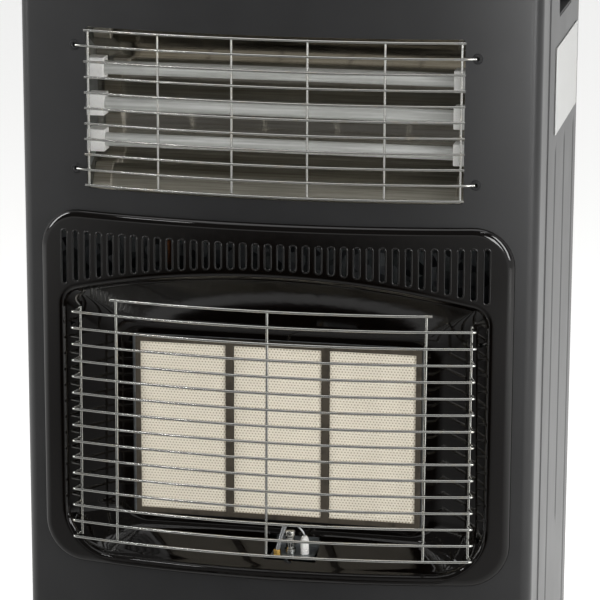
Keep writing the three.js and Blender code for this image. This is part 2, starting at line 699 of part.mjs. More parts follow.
// The mixing chamber: a box open to the plaques' backs, with a flange behind the dish's floor.
function plenumBox() {
  const { wall, flange, flangeSheet } = plenum;
  const lip = gap + retainer.rim + gap;
  const w = fieldHalfWidth + lip + wall;
  const h = fieldHalfHeight + lip + wall;
  const mouthW = fieldHalfWidth - 4;
  const mouthH = fieldHalfHeight - 4;
  const front = floorY + bezel.sheet + gap;
  return cut(
    join(
      block(-w, w, front, plenumBackY, plaqueZ - h, plaqueZ + h),
      block(-w - flange, w + flange, front, front + flangeSheet, plaqueZ - h + 1, plaqueZ + h - 1),
    ),
    block(wall - w, w - wall, front - 1, plaqueBackY + gap, plaqueZ - h + wall, plaqueZ + h - wall),
    block(-mouthW, mouthW, front, plenumBackY - wall, plaqueZ - mouthH, plaqueZ + mouthH),
  );
}

const plenumBottom = plaqueZ - fieldHalfHeight - 2 * gap - retainer.rim - plenum.wall;
const mainPipeZ = valve.bottom + 18;
const pilotPipeZ = valve.bottom + 8;
const pilotPipeX = valve.x + 17;
const dropY = (plenumBackY + shieldY) / 2;
const valveY = controlY;

function gasManifold() {
  const { z, radius, mixerRadius } = manifold;
  const reach = plaquePitch + 22;
  const mixers = [-1, 0, 1].map((i) => {
    const profile = [
      [0, z], [radius + 1, z], [radius + 1, z + 16], [mixerRadius, z + 24],
      [mixerRadius, plenumBottom - gap], [0, plenumBottom - gap],
    ];
    return turned(profile, "z", [i * plaquePitch, manifoldY, 0], 12);
  });
  return join(rod(radius, -reach, reach, "x", [0, manifoldY, z], 12), ...mixers);
}

// The main pipe: forward from the valve, down behind the burner, then forward to the manifold.
function gasPipe() {
  const size = 5;
  const start = [valve.x, valveY - valve.halfDepth - gap, mainPipeZ];
  const top = [valve.x, dropY, mainPipeZ];
  const low = [valve.x, dropY, manifold.z];
  const end = [valve.x, manifoldY + manifold.radius + gap, manifold.z];
  const foot = bend(top, low, end, size);
  return bar([start, ...bend(start, top, low, size), ...foot, end], pipeRadius, 8, [0, 0, 1]);
}

function pilotPipe() {
  const size = 5;
  const under = manifold.z - manifold.radius - 8;
  const start = [pilotPipeX, valveY - valve.halfDepth - gap, pilotPipeZ];
  const top = [pilotPipeX, dropY, pilotPipeZ];
  const low = [pilotPipeX, dropY, under];
  const turn = [pilotBurner.x, dropY, under];
  const rise = [pilotBurner.x, pilotBurnerY, under];
  const end = [pilotBurner.x, pilotBurnerY, pilot.plateTop - pilot.plateSheet - gap];
  return bar(
    [
      start, ...bend(start, top, low, size), ...bend(top, low, turn, size),
      ...bend(low, turn, rise, size), ...bend(turn, rise, end, size), end,
    ],
    pilotPipeRadius, 8, [0, 0, 1],
  );
}

function pilotBracket() {
  const { plateTop, plateSheet, left, right } = pilot;
  return join(
    block(left, right, pilotFrontY, pilotBackY, plateTop - plateSheet, plateTop),
    block(left, right, pilotBackY - plateSheet, pilotBackY, plateTop - plateSheet, plenumBottom - gap),
  );
}

function pilotHead() {
  const { radius, height } = pilotBurner;
  return turned(
    [[0, 0], [radius + 1.2, 0], [radius + 1.2, 4], [radius, 4], [radius, height - 6],
      [radius + 0.8, height - 5], [radius + 0.8, height - 1], [radius - 1, height], [0, height]],
    "z", [0, 0, 0], 16,
  );
}

function thermocoupleProbe() {
  const { radius, height, lean } = thermocouple;
  return join(
    bar([[0, 0, 0], [0, 0, 5], [lean, 0, height]], radius, 8, [0, 1, 0]),
    rod(radius + 1.4, 0, 5, "z", [0, 0, 0], 6),
  );
}

function igniterElectrode() {
  const { radius, sleeve, rod: wire } = electrode;
  return join(
    turned([[0, 0], [radius, 0], [radius, sleeve - 3], [radius - 1.4, sleeve], [0, sleeve]], "z", [0, 0, 0], 14),
    bar([[0, 0, sleeve - 1], [0, 0, sleeve + 3], [-6, 0, sleeve + 8]], wire, 6, [0, 1, 0]),
  );
}

// The valve hangs under the top panel: a body, a neck up to the panel and an open bore for the spindle.
function gasValve() {
  const { x, halfWidth, halfDepth, bottom, height, neck } = valve;
  const ceiling = topPanelTop - topPanel.wall - gap;
  const at = [x, valveY, 0];
  return cut(
    join(
      block(x - halfWidth, x + halfWidth, valveY - halfDepth, valveY + halfDepth, bottom, bottom + height),
      rod(neck, bottom + height - 1, ceiling, "z", at, 20),
      rod(14, ceiling - 3, ceiling, "z", at, 20),
    ),
    rod(spindle.radius + gap, bottom + height - 10, ceiling + 1, "z", at, 16),
  );
}

function hoseNozzle() {
  const { radius, length, barbs } = nozzle;
  const step = (length - 8) / barbs;
  const outline = [[0, 0], [radius - 1.6, 0]];
  for (let i = 0; i < barbs; i++) {
    outline.push([radius, (i + 1) * step - 1.5], [radius - 1.6, (i + 1) * step]);
  }
  outline.push([radius - 1.6, length - 8], [radius + 3, length - 8], [radius + 3, length], [0, length]);
  return cut(turned(outline, "z", [0, 0, 0], 12), rod(2, -1, length - 4, "z", [0, 0, 0], 8));
}

// ---- Electric elements ----------------------------------------------------------------------------

function upperRodZ(row) {
  return slotLine + upperGuard.top - row * upperGuard.pitch;
}

function elementGuard() {
  const bowSteps = 6;
  const rows = Array.from({ length: upperGuard.count }, (_, row) => {
    const z = upperRodZ(row);
    const front = bowedRun(upperGuard.halfWidth, upperGuardY, z, upperGuard, bowSteps);
    if (!upperGuard.prongRows.includes(row)) return bar(front, upperRod, 4);
    const tips = [-1, 1].map((side) => {
      const x = side * upperGuard.prongX;
      const outer = [x, upperGuardY + 3, z];
      return [...bend(front[side < 0 ? 0 : bowSteps], outer, [x, upperGuardY + 9, z], 2.5),
        [x, upperGuardY + upperGuard.prongDepth, z]];
    });
    return bar([...tips[0].reverse(), ...front, ...tips[1]], upperRod, 4);
  });
  const behind = 2 * upperRod - 0.3;
  const uprights = upperGuard.uprights.flatMap((x) =>
    [-x, x].map((at) => {
      const y = upperGuardY - upperGuard.bow * (1 - (at / upperGuard.halfWidth) ** 2) + behind;
      const bottom = upperRodZ(upperGuard.count - 1) - upperRod;
      return bar([[at, y, upperRodZ(0) + upperRod], [at, y, bottom]], upperRod, 4, [0, 1, 0]);
    }),
  );
  return join(rows[0], ...rows.slice(1), ...uprights);
}

const platePlaneX = cap.inner + cap.length + gap;

// A bright folded trough behind the tubes, its front edges following the bowed panel.
function elementReflector() {
  const t = reflector.sheet;
  const back = faceY + reflector.depth;
  const front = faceY;
  const line = (out) => [
    [front, reflector.top + out], [front + 8, reflector.top + out],
    [back - 6, reflector.backTop + out], [back + out, (reflector.backTop + reflector.backBottom) / 2],
    [back - 6, reflector.backBottom - out], [front + 8, reflector.bottom - out],
    [front, reflector.bottom - out],
  ];
  const section = [...line(t), ...line(0).reverse()].map(([y, z]) => [y, slotLine + z]);
  const reach = platePlaneX - gap;
  const inside = prism(
    [...frontLine(sheet + gap), [half, back + 20], [-half, back + 20]], "z", bodyBottom, bodyTop,
  );
  return prism(section, "x", -reach, reach).intersect(inside);
}

// An upright plate at each end of the trough that carries the tubes' ceramic blocks.
function elementPlate(side) {
  const x = [side * platePlaneX, side * (platePlaneX + endPlate.thickness)].sort((a, b) => a - b);
  const front = panelY(platePlaneX + endPlate.thickness, sheet + gap);
  const z = [slotLine + reflector.bottom - 2, slotLine + reflector.top + 2];
  return block(...x, front, faceY + reflector.depth + 2, ...z);
}

// A ceramic block with a blind socket for the tube's end. It points towards the middle.
function ceramicCap(side) {
  const { length, height, depth, bore } = cap;
  const body = block(0, length, -depth / 2, depth / 2, -height / 2, height / 2);
  const piece = cut(body, rod(tube.radius + gap, -1, bore, "x", [0, 0, 0], 16));
  return side > 0 ? piece : piece.rotate([0, 0, 180]);
}

function quartzTube() {
  return rod(tube.radius, -tube.half, tube.half, "x", [0, 0, 0], 16);
}

function tiltSwitchBox() {
  const { x, behindShield, width: w, depth, height } = tiltSwitch;
  const y = shieldY + behindShield;
  const z = bodyBottom + base.thickness + gap;
  return join(
    block(x, x + w, y, y + depth, z, z + height),
    block(x - 5, x + w + 5, y + 6, y + depth - 6, z, z + 2),
  );
}

function powerGland() {
  const { radius, nut } = cordGland;
  const inside = rearCrossFrontY() - gap;
  const outside = sideDepth - sheet;
  return cut(
    join(
      rod(radius, inside - 8, outside + 12, "y", [0, 0, 0], 16),
      rod(nut, outside, outside + 5, "y", [0, 0, 0], 6),
      rod(nut, inside - 5, inside, "y", [0, 0, 0], 6),
    ),
    rod(4, inside - 20, outside + 20, "y", [0, 0, 0], 12),
  );
}

function rearCrossFrontY() {
  return sideDepth - 2 * sheet - gap;
}

// ---- Controls -------------------------------------------------------------------------------------

const rockerPocket = { halfWidth: rocker.halfWidth + gap, halfLength: rocker.halfLength + 1.1 };

function controlConsole() {
  const { halfWidth, front, back, wall } = consoleBox;
  const z = [topPanelTop + gap, consoleTop];
  const outline = roundedBox(-halfWidth, halfWidth, front, back, 8, 3);
  const inner = roundedBox(wall - halfWidth, halfWidth - wall, front + wall, back - wall, 6, 3);
  return cut(
    prism(outline, "z", ...z),
    prism(inner, "z", z[0] - 1, z[1] - wall),
    rod(spindle.radius + 1, z[0], z[1] + 1, "z", [valve.x, controlY, 0], 16),
    rod(piezo.radius + gap, z[0], z[1] + 1, "z", [piezo.x, controlY, 0], 16),
    ...rocker.at.map((x) => rockerHole(x, z[0], z[1] + 1)),
  );
}

function valveSpindle() {
  const low = valve.bottom + valve.height - 10 + gap;
  const high = spindle.top;
  return cut(
    rod(spindle.radius, low, high, "z", [0, 0, 0], 16),
    block(spindle.flat, 9, -9, 9, knobBottom - knob.travel - 0.5, high + 1),
  );
}

const knobBottom = consoleTop + knob.rise;

function gasKnob() {
  const { radius, height, travel, gripHalf } = knob;
  const boreTop = spindle.top + travel + 0.4;
  const socket = cut(
    rod(spindle.radius + gap, knobBottom - 1, boreTop, "z", [0, 0, 0], 16),
    block(spindle.flat + gap, 9, -9, 9, knobBottom - 2, boreTop + 1),
  );
  const top = knobBottom + height;
  const skirt = turned(
    [[0, knobBottom], [radius, knobBottom], [radius, knobBottom + 5], [radius - 3, knobBottom + 8],
      [radius - 4, knobBottom + 11], [0, knobBottom + 11]],
    "z", [0, 0, 0], 32,
  );
  const handle = prism(
    roundedBox(-radius + 4, radius - 4, -gripHalf, gripHalf, gripHalf - 1, 3), "z", knobBottom + 6, top,
  );
  return cut(join(skirt, handle.rotate([0, 0, 90])), socket);
}

function piezoBody() {
  const { radius, flange, bore } = piezo;
  const low = valve.bottom + 12;
  return cut(
    join(
      rod(radius, low, consoleTop + gap + bezelLip, "z", [0, 0, 0], 20),
      rod(flange, consoleTop + gap, consoleTop + gap + bezelLip, "z", [0, 0, 0], 20),
    ),
    rod(bore, piezoFloor, consoleTop + 9, "z", [0, 0, 0], 20),
  );
}

const piezoFloor = consoleTop - 12;

function piezoButton() {
  const low = piezoFloor + piezo.travel + gap;
  const high = consoleTop + gap + bezelLip + piezo.travel + 1;
  return turned(
    [[0, low], [piezo.button, low], [piezo.button, high - 1.2], [piezo.button - 1.2, high], [0, high]],
    "z", [0, 0, 0], 20,
  );
}

function rockerFrame() {
  const { wall, flange, bottomDrop } = rockerHousing;
  const w = rockerPocket.halfWidth;
  const l = rockerPocket.halfLength;
  const low = consoleTop - bottomDrop;
  const lipBottom = consoleTop + gap;
  return cut(
    join(
      block(-w - wall, w + wall, -l - wall, l + wall, low, lipBottom + bezelLip),
      block(-w - wall - flange, w + wall + flange, -l - wall - flange, l + wall + flange,
        lipBottom, lipBottom + bezelLip),
    ),
    block(-w, w, -l, l, low + 2, lipBottom + 9),
  );
}

// A shallow V-topped rocker about its pivot line, resting with its front end up.
function rockerKey() {
  const { halfWidth, halfLength, rise } = rocker;
  const section = [
    [-halfLength, -1], [-5, -8], [5, -8], [halfLength, -1], [halfLength, rise],
    [0, rise - 1.6], [-halfLength, rise],
  ];
  return prism(section, "x", -halfWidth, halfWidth);
}

// ---- Casters --------------------------------------------------------------------------------------

// The fork about its swivel line: stem, crown and two cheeks with the axle riveted between them.
function casterFork() {
  const { wheelRadius, wheelWidth, trail, pin, stem, crown, crownSheet, cheek } = caster;
  const inner = wheelWidth / 2 + 0.6;
  const outer = inner + cheek;
  const crownTop = crown + crownSheet;
  const cheekLine = [
    [-9, crownTop], [-9, crown - 3], [trail - 7, wheelRadius - 5],
    [trail + 5, wheelRadius - 6], [trail + 7, wheelRadius + 4], [15, crown - 3], [15, crownTop],
  ];
  return join(
    rod(stem, crown, caster.socketTop - 3, "z", [0, 0, 0], 14),
    block(-outer, outer, -9, 15, crown, crownTop),
    prism(cheekLine, "x", -outer, -inner),
    prism(cheekLine, "x", inner, outer),
    rod(pin, -outer + 1, outer - 1, "x", [0, trail, wheelRadius], 12),
  );
}

// The wheel about its axle, with a flat of its rim towards the floor.
function casterWheel() {
  const { wheelRadius, wheelWidth, pin } = caster;
  const sides = 24;
  const rim = wheelRadius / Math.cos(Math.PI / sides);
  const w = wheelWidth / 2;
  const bore = pin + gap;
  return turned(
    [[bore, -w], [rim - 2, -w], [rim, -w + 2.4], [rim, w - 2.4], [rim - 2, w], [bore, w], [bore, -w]],
    "x", [0, 0, 0], sides, Math.PI / sides,
  );
}

// ---- Assembly -------------------------------------------------------------------------------------

const heater = new THREE.Group();
const cabinet = new THREE.Group();
cabinet.position.y = -(guardFrontY + rearY) / 2;
heater.add(cabinet);

function finish(color, roughness, metalness) {
  return new THREE.MeshStandardMaterial({ color, roughness, metalness });
}

const graphite = () => finish("#3d3d3e", 0.55, 0.3);
const enamel = () => finish("#0d0b0a", 0.12, 0.1);
const bright = () => finish("#c9c9c6", 0.18, 1);
const galvanised = () => finish("#8d9092", 0.45, 0.9);
const blackPlastic = () => finish("#161617", 0.5, 0);
const castBrass = () => finish("#b08d4a", 0.35, 0.9);
const whiteCeramic = () => finish("#ecebe6", 0.7, 0);

function place(name, solid, material, at = [0, 0, 0]) {
  const { numProp, numVert, vertProperties, triVerts } = solid.getMesh();
  const points = new Float32Array(numVert * 3);
  for (let i = 0; i < numVert; i++) {
    points.set(vertProperties.subarray(i * numProp, i * numProp + 3), i * 3);
  }
  const geometry = new THREE.BufferGeometry();
  geometry.setAttribute("position", new THREE.BufferAttribute(points, 3));
  geometry.setIndex(new THREE.BufferAttribute(triVerts, 1));
  geometry.computeVertexNormals();
  const mesh = new THREE.Mesh(geometry, material);
  mesh.name = name;
  mesh.position.set(...at);
  cabinet.add(mesh);
  return mesh;
}

place("front_panel", frontPanel(), graphite());
place("side_panel_left", sidePanel(-1), graphite());
place("side_panel_right", sidePanel(1), graphite());
place("hand_grip_left", handGrip(-1), blackPlastic());
place("hand_grip_right", handGrip(1), blackPlastic());
place("top_panel", topCover(), graphite());
place("base_plate", basePlate(), graphite());
place("heat_shield", heatShield(), galvanised());
place("rear_cover", rearHood(), graphite());
place("rear_rail", rearCrossPanel(), graphite());
place("rating_label", ratingLabel(), finish("#d2d2cf", 0.6, 0));

place("burner_bezel", burnerBezel(), enamel());
place("burner_guard", burnerGuard(), bright());
[-1, 0, 1].forEach((i) => {
  const at = [i * plaquePitch, plaqueFaceY, plaqueZ];
  place("ceramic_plaque_" + (i + 2), ceramicPlaque(), finish("#e8e0d0", 0.9, 0), at);
});
place("plaque_retainer", plaqueRetainer(), finish("#4a443c", 0.5, 0.6));
place("plenum_box", plenumBox(), galvanised());
place("gas_manifold", gasManifold(), galvanised());
place("gas_pipe", gasPipe(), finish("#b87348", 0.35, 0.9));
place("pilot_pipe", pilotPipe(), finish("#b87348", 0.35, 0.9));
place("pilot_bracket", pilotBracket(), galvanised());
place("pilot_burner", pilotHead(), bright(), [pilotBurner.x, pilotBurnerY, pilot.plateTop + gap]);
place(
  "thermocouple", thermocoupleProbe(), castBrass(), [thermocouple.x, thermocoupleY, pilot.plateTop + gap],
);
place("igniter_electrode", igniterElectrode(), whiteCeramic(), [electrode.x, electrodeY, pilot.plateTop + gap]);
place("gas_valve", gasValve(), galvanised());
place("hose_nozzle", hoseNozzle(), castBrass(), [valve.x, valveY + 6, valve.bottom - gap - nozzle.length]);

place("upper_guard", elementGuard(), bright());
place("reflector", elementReflector(), bright());
place("element_plate_left", elementPlate(-1), galvanised());
place("element_plate_right", elementPlate(1), galvanised());
for (let row = 0; row < 3; row++) {
  const z = tubeZ(row);
  place("quartz_tube_" + (row + 1), quartzTube(), finish("#b9bab6", 0.35, 0), [0, tubeY, z]);
  place("ceramic_cap_left_" + (row + 1), ceramicCap(-1), whiteCeramic(), [-cap.inner, tubeY, z]);
  place("ceramic_cap_right_" + (row + 1), ceramicCap(1), whiteCeramic(), [cap.inner, tubeY, z]);
}
place("tip_over_switch", tiltSwitchBox(), blackPlastic());
place("cord_gland", powerGland(), blackPlastic(), [cordGland.x, 0, cordGland.z]);

place("control_console", controlConsole(), blackPlastic());
place("valve_spindle", valveSpindle(), castBrass(), [valve.x, controlY, 0]);
place("gas_knob", gasKnob(), blackPlastic(), [valve.x, controlY, 0]);
place("piezo_igniter", piezoBody(), blackPlastic(), [piezo.x, controlY, 0]);
place("piezo_button", piezoButton(), finish("#a01c18", 0.4, 0), [piezo.x, controlY, 0]);
rocker.at.forEach((x, i) => {
  const at = [x, controlY, 0];
  place("rocker_housing_" + (i + 1), rockerFrame(), blackPlastic(), at);
  const key = place("rocker_switch_" + (i + 1), rockerKey(), finish("#1c1c1d", 0.3, 0), at);
  key.position.z = consoleTop - rocker.pivotDrop;
  key.rotation.x = -THREE.MathUtils.degToRad(rocker.tilt);
});

casterY.forEach((y, row) => {
  [-1, 1].forEach((side) => {
    const name = ["front", "rear"][row] + "_" + (side < 0 ? "left" : "right");
    place("caster_fork_" + name, casterFork(), galvanised(), [side * caster.x, y, 0]);
    place(
      "caster_wheel_" + name, casterWheel(), blackPlastic(),
      [side * caster.x, y + caster.trail, caster.wheelRadius],
    );
  });
});

export default heater;
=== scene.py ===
"""Looks of a portable gas cabinet heater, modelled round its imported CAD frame.

Sizes in the classes are millimetres in the cabinet's own frame: X to the right, Y away from the user
with zero where the front panel's corners meet the side panels, Z up from the floor. The bench turns
them into metres in the object's frame as each mesh is made.
"""

import json
import logging
import math
from collections.abc import Callable, Sequence
from dataclasses import dataclass, field
from enum import Enum

import bmesh
import bpy
from mathutils import Matrix, Vector

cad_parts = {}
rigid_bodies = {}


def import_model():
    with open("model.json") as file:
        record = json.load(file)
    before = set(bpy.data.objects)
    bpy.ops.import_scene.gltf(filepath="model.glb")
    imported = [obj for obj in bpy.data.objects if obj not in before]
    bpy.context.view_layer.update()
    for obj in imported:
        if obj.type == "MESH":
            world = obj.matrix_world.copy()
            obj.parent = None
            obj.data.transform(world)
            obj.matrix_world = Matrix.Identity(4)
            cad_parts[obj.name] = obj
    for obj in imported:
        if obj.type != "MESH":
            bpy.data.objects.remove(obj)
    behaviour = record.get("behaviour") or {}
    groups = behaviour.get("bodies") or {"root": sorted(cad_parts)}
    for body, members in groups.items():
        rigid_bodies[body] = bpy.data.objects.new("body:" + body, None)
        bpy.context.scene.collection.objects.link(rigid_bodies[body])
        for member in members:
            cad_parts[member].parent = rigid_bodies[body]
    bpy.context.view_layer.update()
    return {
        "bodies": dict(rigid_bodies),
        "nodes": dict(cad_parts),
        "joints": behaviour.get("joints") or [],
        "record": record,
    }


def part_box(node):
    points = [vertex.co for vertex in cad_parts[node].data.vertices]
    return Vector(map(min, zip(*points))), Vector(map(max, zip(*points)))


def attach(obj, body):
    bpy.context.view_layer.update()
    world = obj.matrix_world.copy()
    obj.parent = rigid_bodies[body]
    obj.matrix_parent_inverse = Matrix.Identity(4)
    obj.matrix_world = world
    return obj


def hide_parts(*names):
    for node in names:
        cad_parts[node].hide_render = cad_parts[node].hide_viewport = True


LOG = logging.getLogger("heater")
MM = 0.001
CLEARANCE = 0.3  # millimetres between pieces that fit together
SMOOTH_UNDER = 38.0  # degrees: flatter edges than this shade as one curve

Point = tuple[float, float, float]
Flat = tuple[float, float]


class Side(Enum):
    """The two hands of the cabinet, as the sign of X."""

    LEFT = -1
    RIGHT = 1


# ---- Finishes -------------------------------------------------------------------------------------


def linear(hex_colour: str) -> tuple[float, float, float, float]:
    """Turns an sRGB hex colour into linear RGBA.

    Args:
        hex_colour: Six hex digits after a hash sign.

    Returns:
        Linear red, green, blue and an alpha of 1.
    """
    parts = [int(hex_colour[i : i + 2], 16) / 255 for i in (1, 3, 5)]
    red, green, blue = (p / 12.92 if p <= 0.04045 else ((p + 0.055) / 1.055) ** 2.4 for p in parts)
    return (red, green, blue, 1.0)


def add_node(tree: bpy.types.NodeTree, kind: str, inputs: dict | None = None, **settings) -> bpy.types.Node:
    """Adds a shader node, sets its properties and fills or links its inputs.

    Args:
        tree: The node tree that gets the node.
        kind: The node's Blender type name.
        inputs: Input names or numbers, each with a value or an output socket to link.
        **settings: The node's own properties.

    Returns:
        The new node.
    """
    node = tree.nodes.new(kind)
    for name, value in settings.items():
        setattr(node, name, value)
    for name, value in (inputs or {}).items():
        if isinstance(value, bpy.types.NodeSocket):
            tree.links.new(value, node.inputs[name])
        else:
            node.inputs[name].default_value = value
    return node


def calc(tree: bpy.types.NodeTree, operation: str, first: object, second: object) -> bpy.types.NodeSocket:
    """Adds one step of arithmetic and returns its result."""
    return add_node(tree, "ShaderNodeMath", {0: first, 1: second}, operation=operation).outputs[0]


@dataclass(frozen=True)
class Coat:
    """A material under way: its nodes, its surface shader and the object's own coordinates."""

    tree: bpy.types.NodeTree
    shader: bpy.types.Node
    place: bpy.types.NodeSocket

    def noise(self, scale: float, detail: float, shrink: float = 1.0) -> bpy.types.NodeSocket:
        """Adds soft noise.

        Args:
            scale: Patches per metre.
            detail: How many finer layers it has.
            shrink: Factor on X, below 1 for patches that run long along X.

        Returns:
            The noise's value.
        """
        place = self.place
        if shrink < 1.0:
            squeeze = {"Vector": place, "Scale": (shrink, 1.0, 1.0)}
            place = add_node(self.tree, "ShaderNodeMapping", squeeze).outputs[0]
        values = {"Vector": place, "Scale": scale, "Detail": detail}
        return add_node(self.tree, "ShaderNodeTexNoise", values).outputs[0]

    def remap(self, value: bpy.types.NodeSocket, **limits: float) -> bpy.types.NodeSocket:
        """Maps a value's range, given as from_min, from_max, to_min or to_max, to another."""
        names = {name.replace("_", " ").title(): limit for name, limit in limits.items()}
        return add_node(self.tree, "ShaderNodeMapRange", {"Value": value, **names}).outputs[0]

    def shine(self, value: bpy.types.NodeSocket, low: float, high: float) -> None:
        """Lets the roughness follow a pattern's value between two limits."""
        self.tree.links.new(self.remap(value, to_min=low, to_max=high), self.shader.inputs["Roughness"])


@dataclass(frozen=True)
class Finish:
    """One real surface, with its colour and its shine. Subclasses add the pattern it shows."""

    name: str
    colour: str
    roughness: float
    metallic: float = 0.0
    specular: float = 0.5

    def build(self) -> bpy.types.Material:
        """Makes the material.

        Returns:
            The material, with its pattern drawn by the subclass.
        """
        material = bpy.data.materials.new(self.name)
        material.use_nodes = True
        tree = material.node_tree
        tree.nodes.clear()
        shader = add_node(
            tree,
            "ShaderNodeBsdfPrincipled",
            {
                "Base Color": linear(self.colour),
                "Roughness": self.roughness,
                "Metallic": self.metallic,
                "Specular IOR Level": self.specular,
            },
        )
        add_node(tree, "ShaderNodeOutputMaterial", {"Surface": shader.outputs[0]})
        self.draw(Coat(tree, shader, add_node(tree, "ShaderNodeTexCoord").outputs["Object"]))
        return material

    def draw(self, coat: Coat) -> None:
        """Draws the surface's pattern. A plain finish has a faint unevenness of its shine."""
        self.mottle(coat, 400.0, 0.05)

    def mottle(self, coat: Coat, scale: float, amount: float) -> bpy.types.NodeSocket:
        """Spreads the roughness a little either way with soft noise.

        Args:
            coat: The material under way.
            scale: Patches per metre.
            amount: How far the roughness goes either way.

        Returns:
            The noise's value, for other uses.
        """
        noise = coat.noise(scale, 3.0)
        coat.shine(noise, self.roughness - amount, self.roughness + amount)
        return noise

    def tint(
        self, coat: Coat, factor: bpy.types.NodeSocket, other: str, low: float = 0.35, high: float = 0.65
    ) -> None:
        """Blends the colour towards another where the factor is high.

        Args:
            coat: The material under way.
            factor: The pattern's value.
            other: The second colour, as hex.
            low: Value of the factor at which the blend starts.
            high: Value at which it ends.
        """
        ramp = coat.remap(factor, from_min=low, from_max=high)
        blend = add_node(
            coat.tree,
            "ShaderNodeMix",
            {0: ramp, 6: linear(self.colour), 7: linear(other)},
            data_type="RGBA",
        )
        coat.tree.links.new(blend.outputs[2], coat.shader.inputs["Base Color"])

    def relief(self, coat: Coat, height: bpy.types.NodeSocket, depth: float) -> None:
        """Raises the surface by a pattern.

        Args:
            coat: The material under way.
            height: The pattern's value.
            depth: Its real depth, in millimetres.
        """
        values = {"Height": height, "Distance": depth * MM, "Strength": 1.0}
        bump = add_node(coat.tree, "ShaderNodeBump", values)
        coat.tree.links.new(bump.outputs[0], coat.shader.inputs["Normal"])


@dataclass(frozen=True)
class PowderCoat(Finish):
    """Sprayed and baked powder: a satin skin with a fine, even orange-peel grain."""

    grain: float = 1.3
    depth: float = 0.012

    def draw(self, coat: Coat) -> None:
        """Draws the grain, 1.3 mm from bump to bump, and faint cloudiness from handling."""
        self.relief(coat, coat.noise(1000 / self.grain, 2.0), self.depth)
        cloud = self.mottle(coat, 22.0, 0.03)
        darker = "#" + "".join(f"{max(int(self.colour[i : i + 2], 16) - 5, 0):02x}" for i in (1, 3, 5))
        self.tint(coat, cloud, darker)


@dataclass(frozen=True)
class Enamel(Finish):
    """Fired glass enamel on steel: deep, wet and nearly flat, with the slow waviness of a dipped coat."""

    def draw(self, coat: Coat) -> None:
        """Draws a waviness 9 mm across and a little dust in the shine."""
        self.relief(coat, coat.noise(110.0, 1.0), 0.02)
        self.mottle(coat, 60.0, 0.03)


@dataclass(frozen=True)
class PlatedWire(Finish):
    """Nickel and chrome on drawn wire: mirror-bright, with die lines too fine to see one by one."""

    def draw(self, coat: Coat) -> None:
        """Draws small clouds of duller plating and a straw tint where the burner has heated it."""
        cloud = self.mottle(coat, 140.0, 0.07)
        self.tint(coat, cloud, "#b9b3a6", 0.55, 0.8)


@dataclass(frozen=True)
class RolledReflector(Finish):
    """Bright rolled aluminium: a soft mirror, streaked along the rolling direction."""

    def draw(self, coat: Coat) -> None:
        """Draws rolling streaks 1.5 mm apart that run along X."""
        streaks = coat.noise(650.0, 3.0, shrink=0.02)
        self.relief(coat, streaks, 0.006)
        self.tint(coat, streaks, "#8f897c", 0.4, 0.75)
        self.mottle(coat, 30.0, 0.05)


@dataclass(frozen=True)
class Galvanised(Finish):
    """Hot-dipped zinc: dull grey metal in flat crystals a centimetre across."""

    crystal: float = 9.0
    bright: str = "#a4a8aa"

    def draw(self, coat: Coat) -> None:
        """Draws the crystals as patches of their own grey and shine."""
        values = {"Vector": coat.place, "Scale": 1000 / self.crystal}
        spangle = add_node(coat.tree, "ShaderNodeTexVoronoi", values)
        grey = add_node(coat.tree, "ShaderNodeRGBToBW", {"Color": spangle.outputs["Color"]}).outputs[0]
        self.tint(coat, grey, self.bright, 0.1, 0.9)
        coat.shine(grey, self.roughness - 0.08, self.roughness + 0.1)


@dataclass(frozen=True)
class PorousCeramic(Finish):
    """Pressed burner ceramic: chalky and matt, pierced by staggered flame ports."""

    pitch: float = 2.6
    port: float = 0.62
    port_shade_colour: str = "#b5a78f"

    def draw(self, coat: Coat) -> None:
        """Draws the ports as darker dots, a painted shade in the holes, over a shallow bump. The real ones
        are 1.6 mm apart: 2.6 mm is the closest that still shows.
        """
        axes = add_node(coat.tree, "ShaderNodeSeparateXYZ", {"Vector": coat.place})
        across = calc(coat.tree, "MULTIPLY", axes.outputs["X"], 1000 / self.pitch)
        up = calc(coat.tree, "MULTIPLY", axes.outputs["Z"], 1000 / (self.pitch * 0.866))
        row = calc(coat.tree, "FLOOR", up, 0.0)
        odd = calc(coat.tree, "MULTIPLY", calc(coat.tree, "MODULO", row, 2.0), 0.5)
        offset = calc(coat.tree, "FRACT", calc(coat.tree, "ADD", across, odd), 0.0)
        from_x = calc(coat.tree, "POWER", calc(coat.tree, "SUBTRACT", offset, 0.5), 2.0)
        rise = calc(coat.tree, "FRACT", up, 0.0)
        from_z = calc(coat.tree, "POWER", calc(coat.tree, "SUBTRACT", rise, 0.5), 2.0)
        away = calc(coat.tree, "SQRT", calc(coat.tree, "ADD", from_x, from_z), 0.0)
        edge = self.port / self.pitch
        hole = coat.remap(away, from_min=edge * 0.7, from_max=edge * 1.35, to_min=1.0, to_max=0.0)
        # Painted shade: the ports take a darker colour where the holes would hold shade.
        self.tint(coat, hole, self.port_shade_colour, 0.0, 1.0)
        solid = calc(coat.tree, "SUBTRACT", 1.0, hole)
        self.relief(coat, solid, 0.25)


@dataclass(frozen=True)
class Steatite(Finish):
    """Fired insulator ceramic: white, with a low sheen and a few pin-point specks."""

    def draw(self, coat: Coat) -> None:
        """Draws the specks, about half a millimetre across, and a sandy skin."""
        specks = coat.noise(1800.0, 1.0)
        self.tint(coat, specks, "#cfcac0", 0.62, 0.75)
        self.relief(coat, specks, 0.02)


@dataclass(frozen=True)
class FrostedQuartz(Finish):
    """Milky quartz tube: grey-white and hazy, with a shine that follows the tube."""

    def draw(self, coat: Coat) -> None:
        """Draws drawn-glass striae along the tube and lets a little light through."""
        coat.shader.inputs["Transmission Weight"].default_value = 0.15
        striae = coat.noise(500.0, 2.0, shrink=0.03)
        self.tint(coat, striae, "#cfd0cd", 0.4, 0.7)
        self.relief(coat, striae, 0.01)


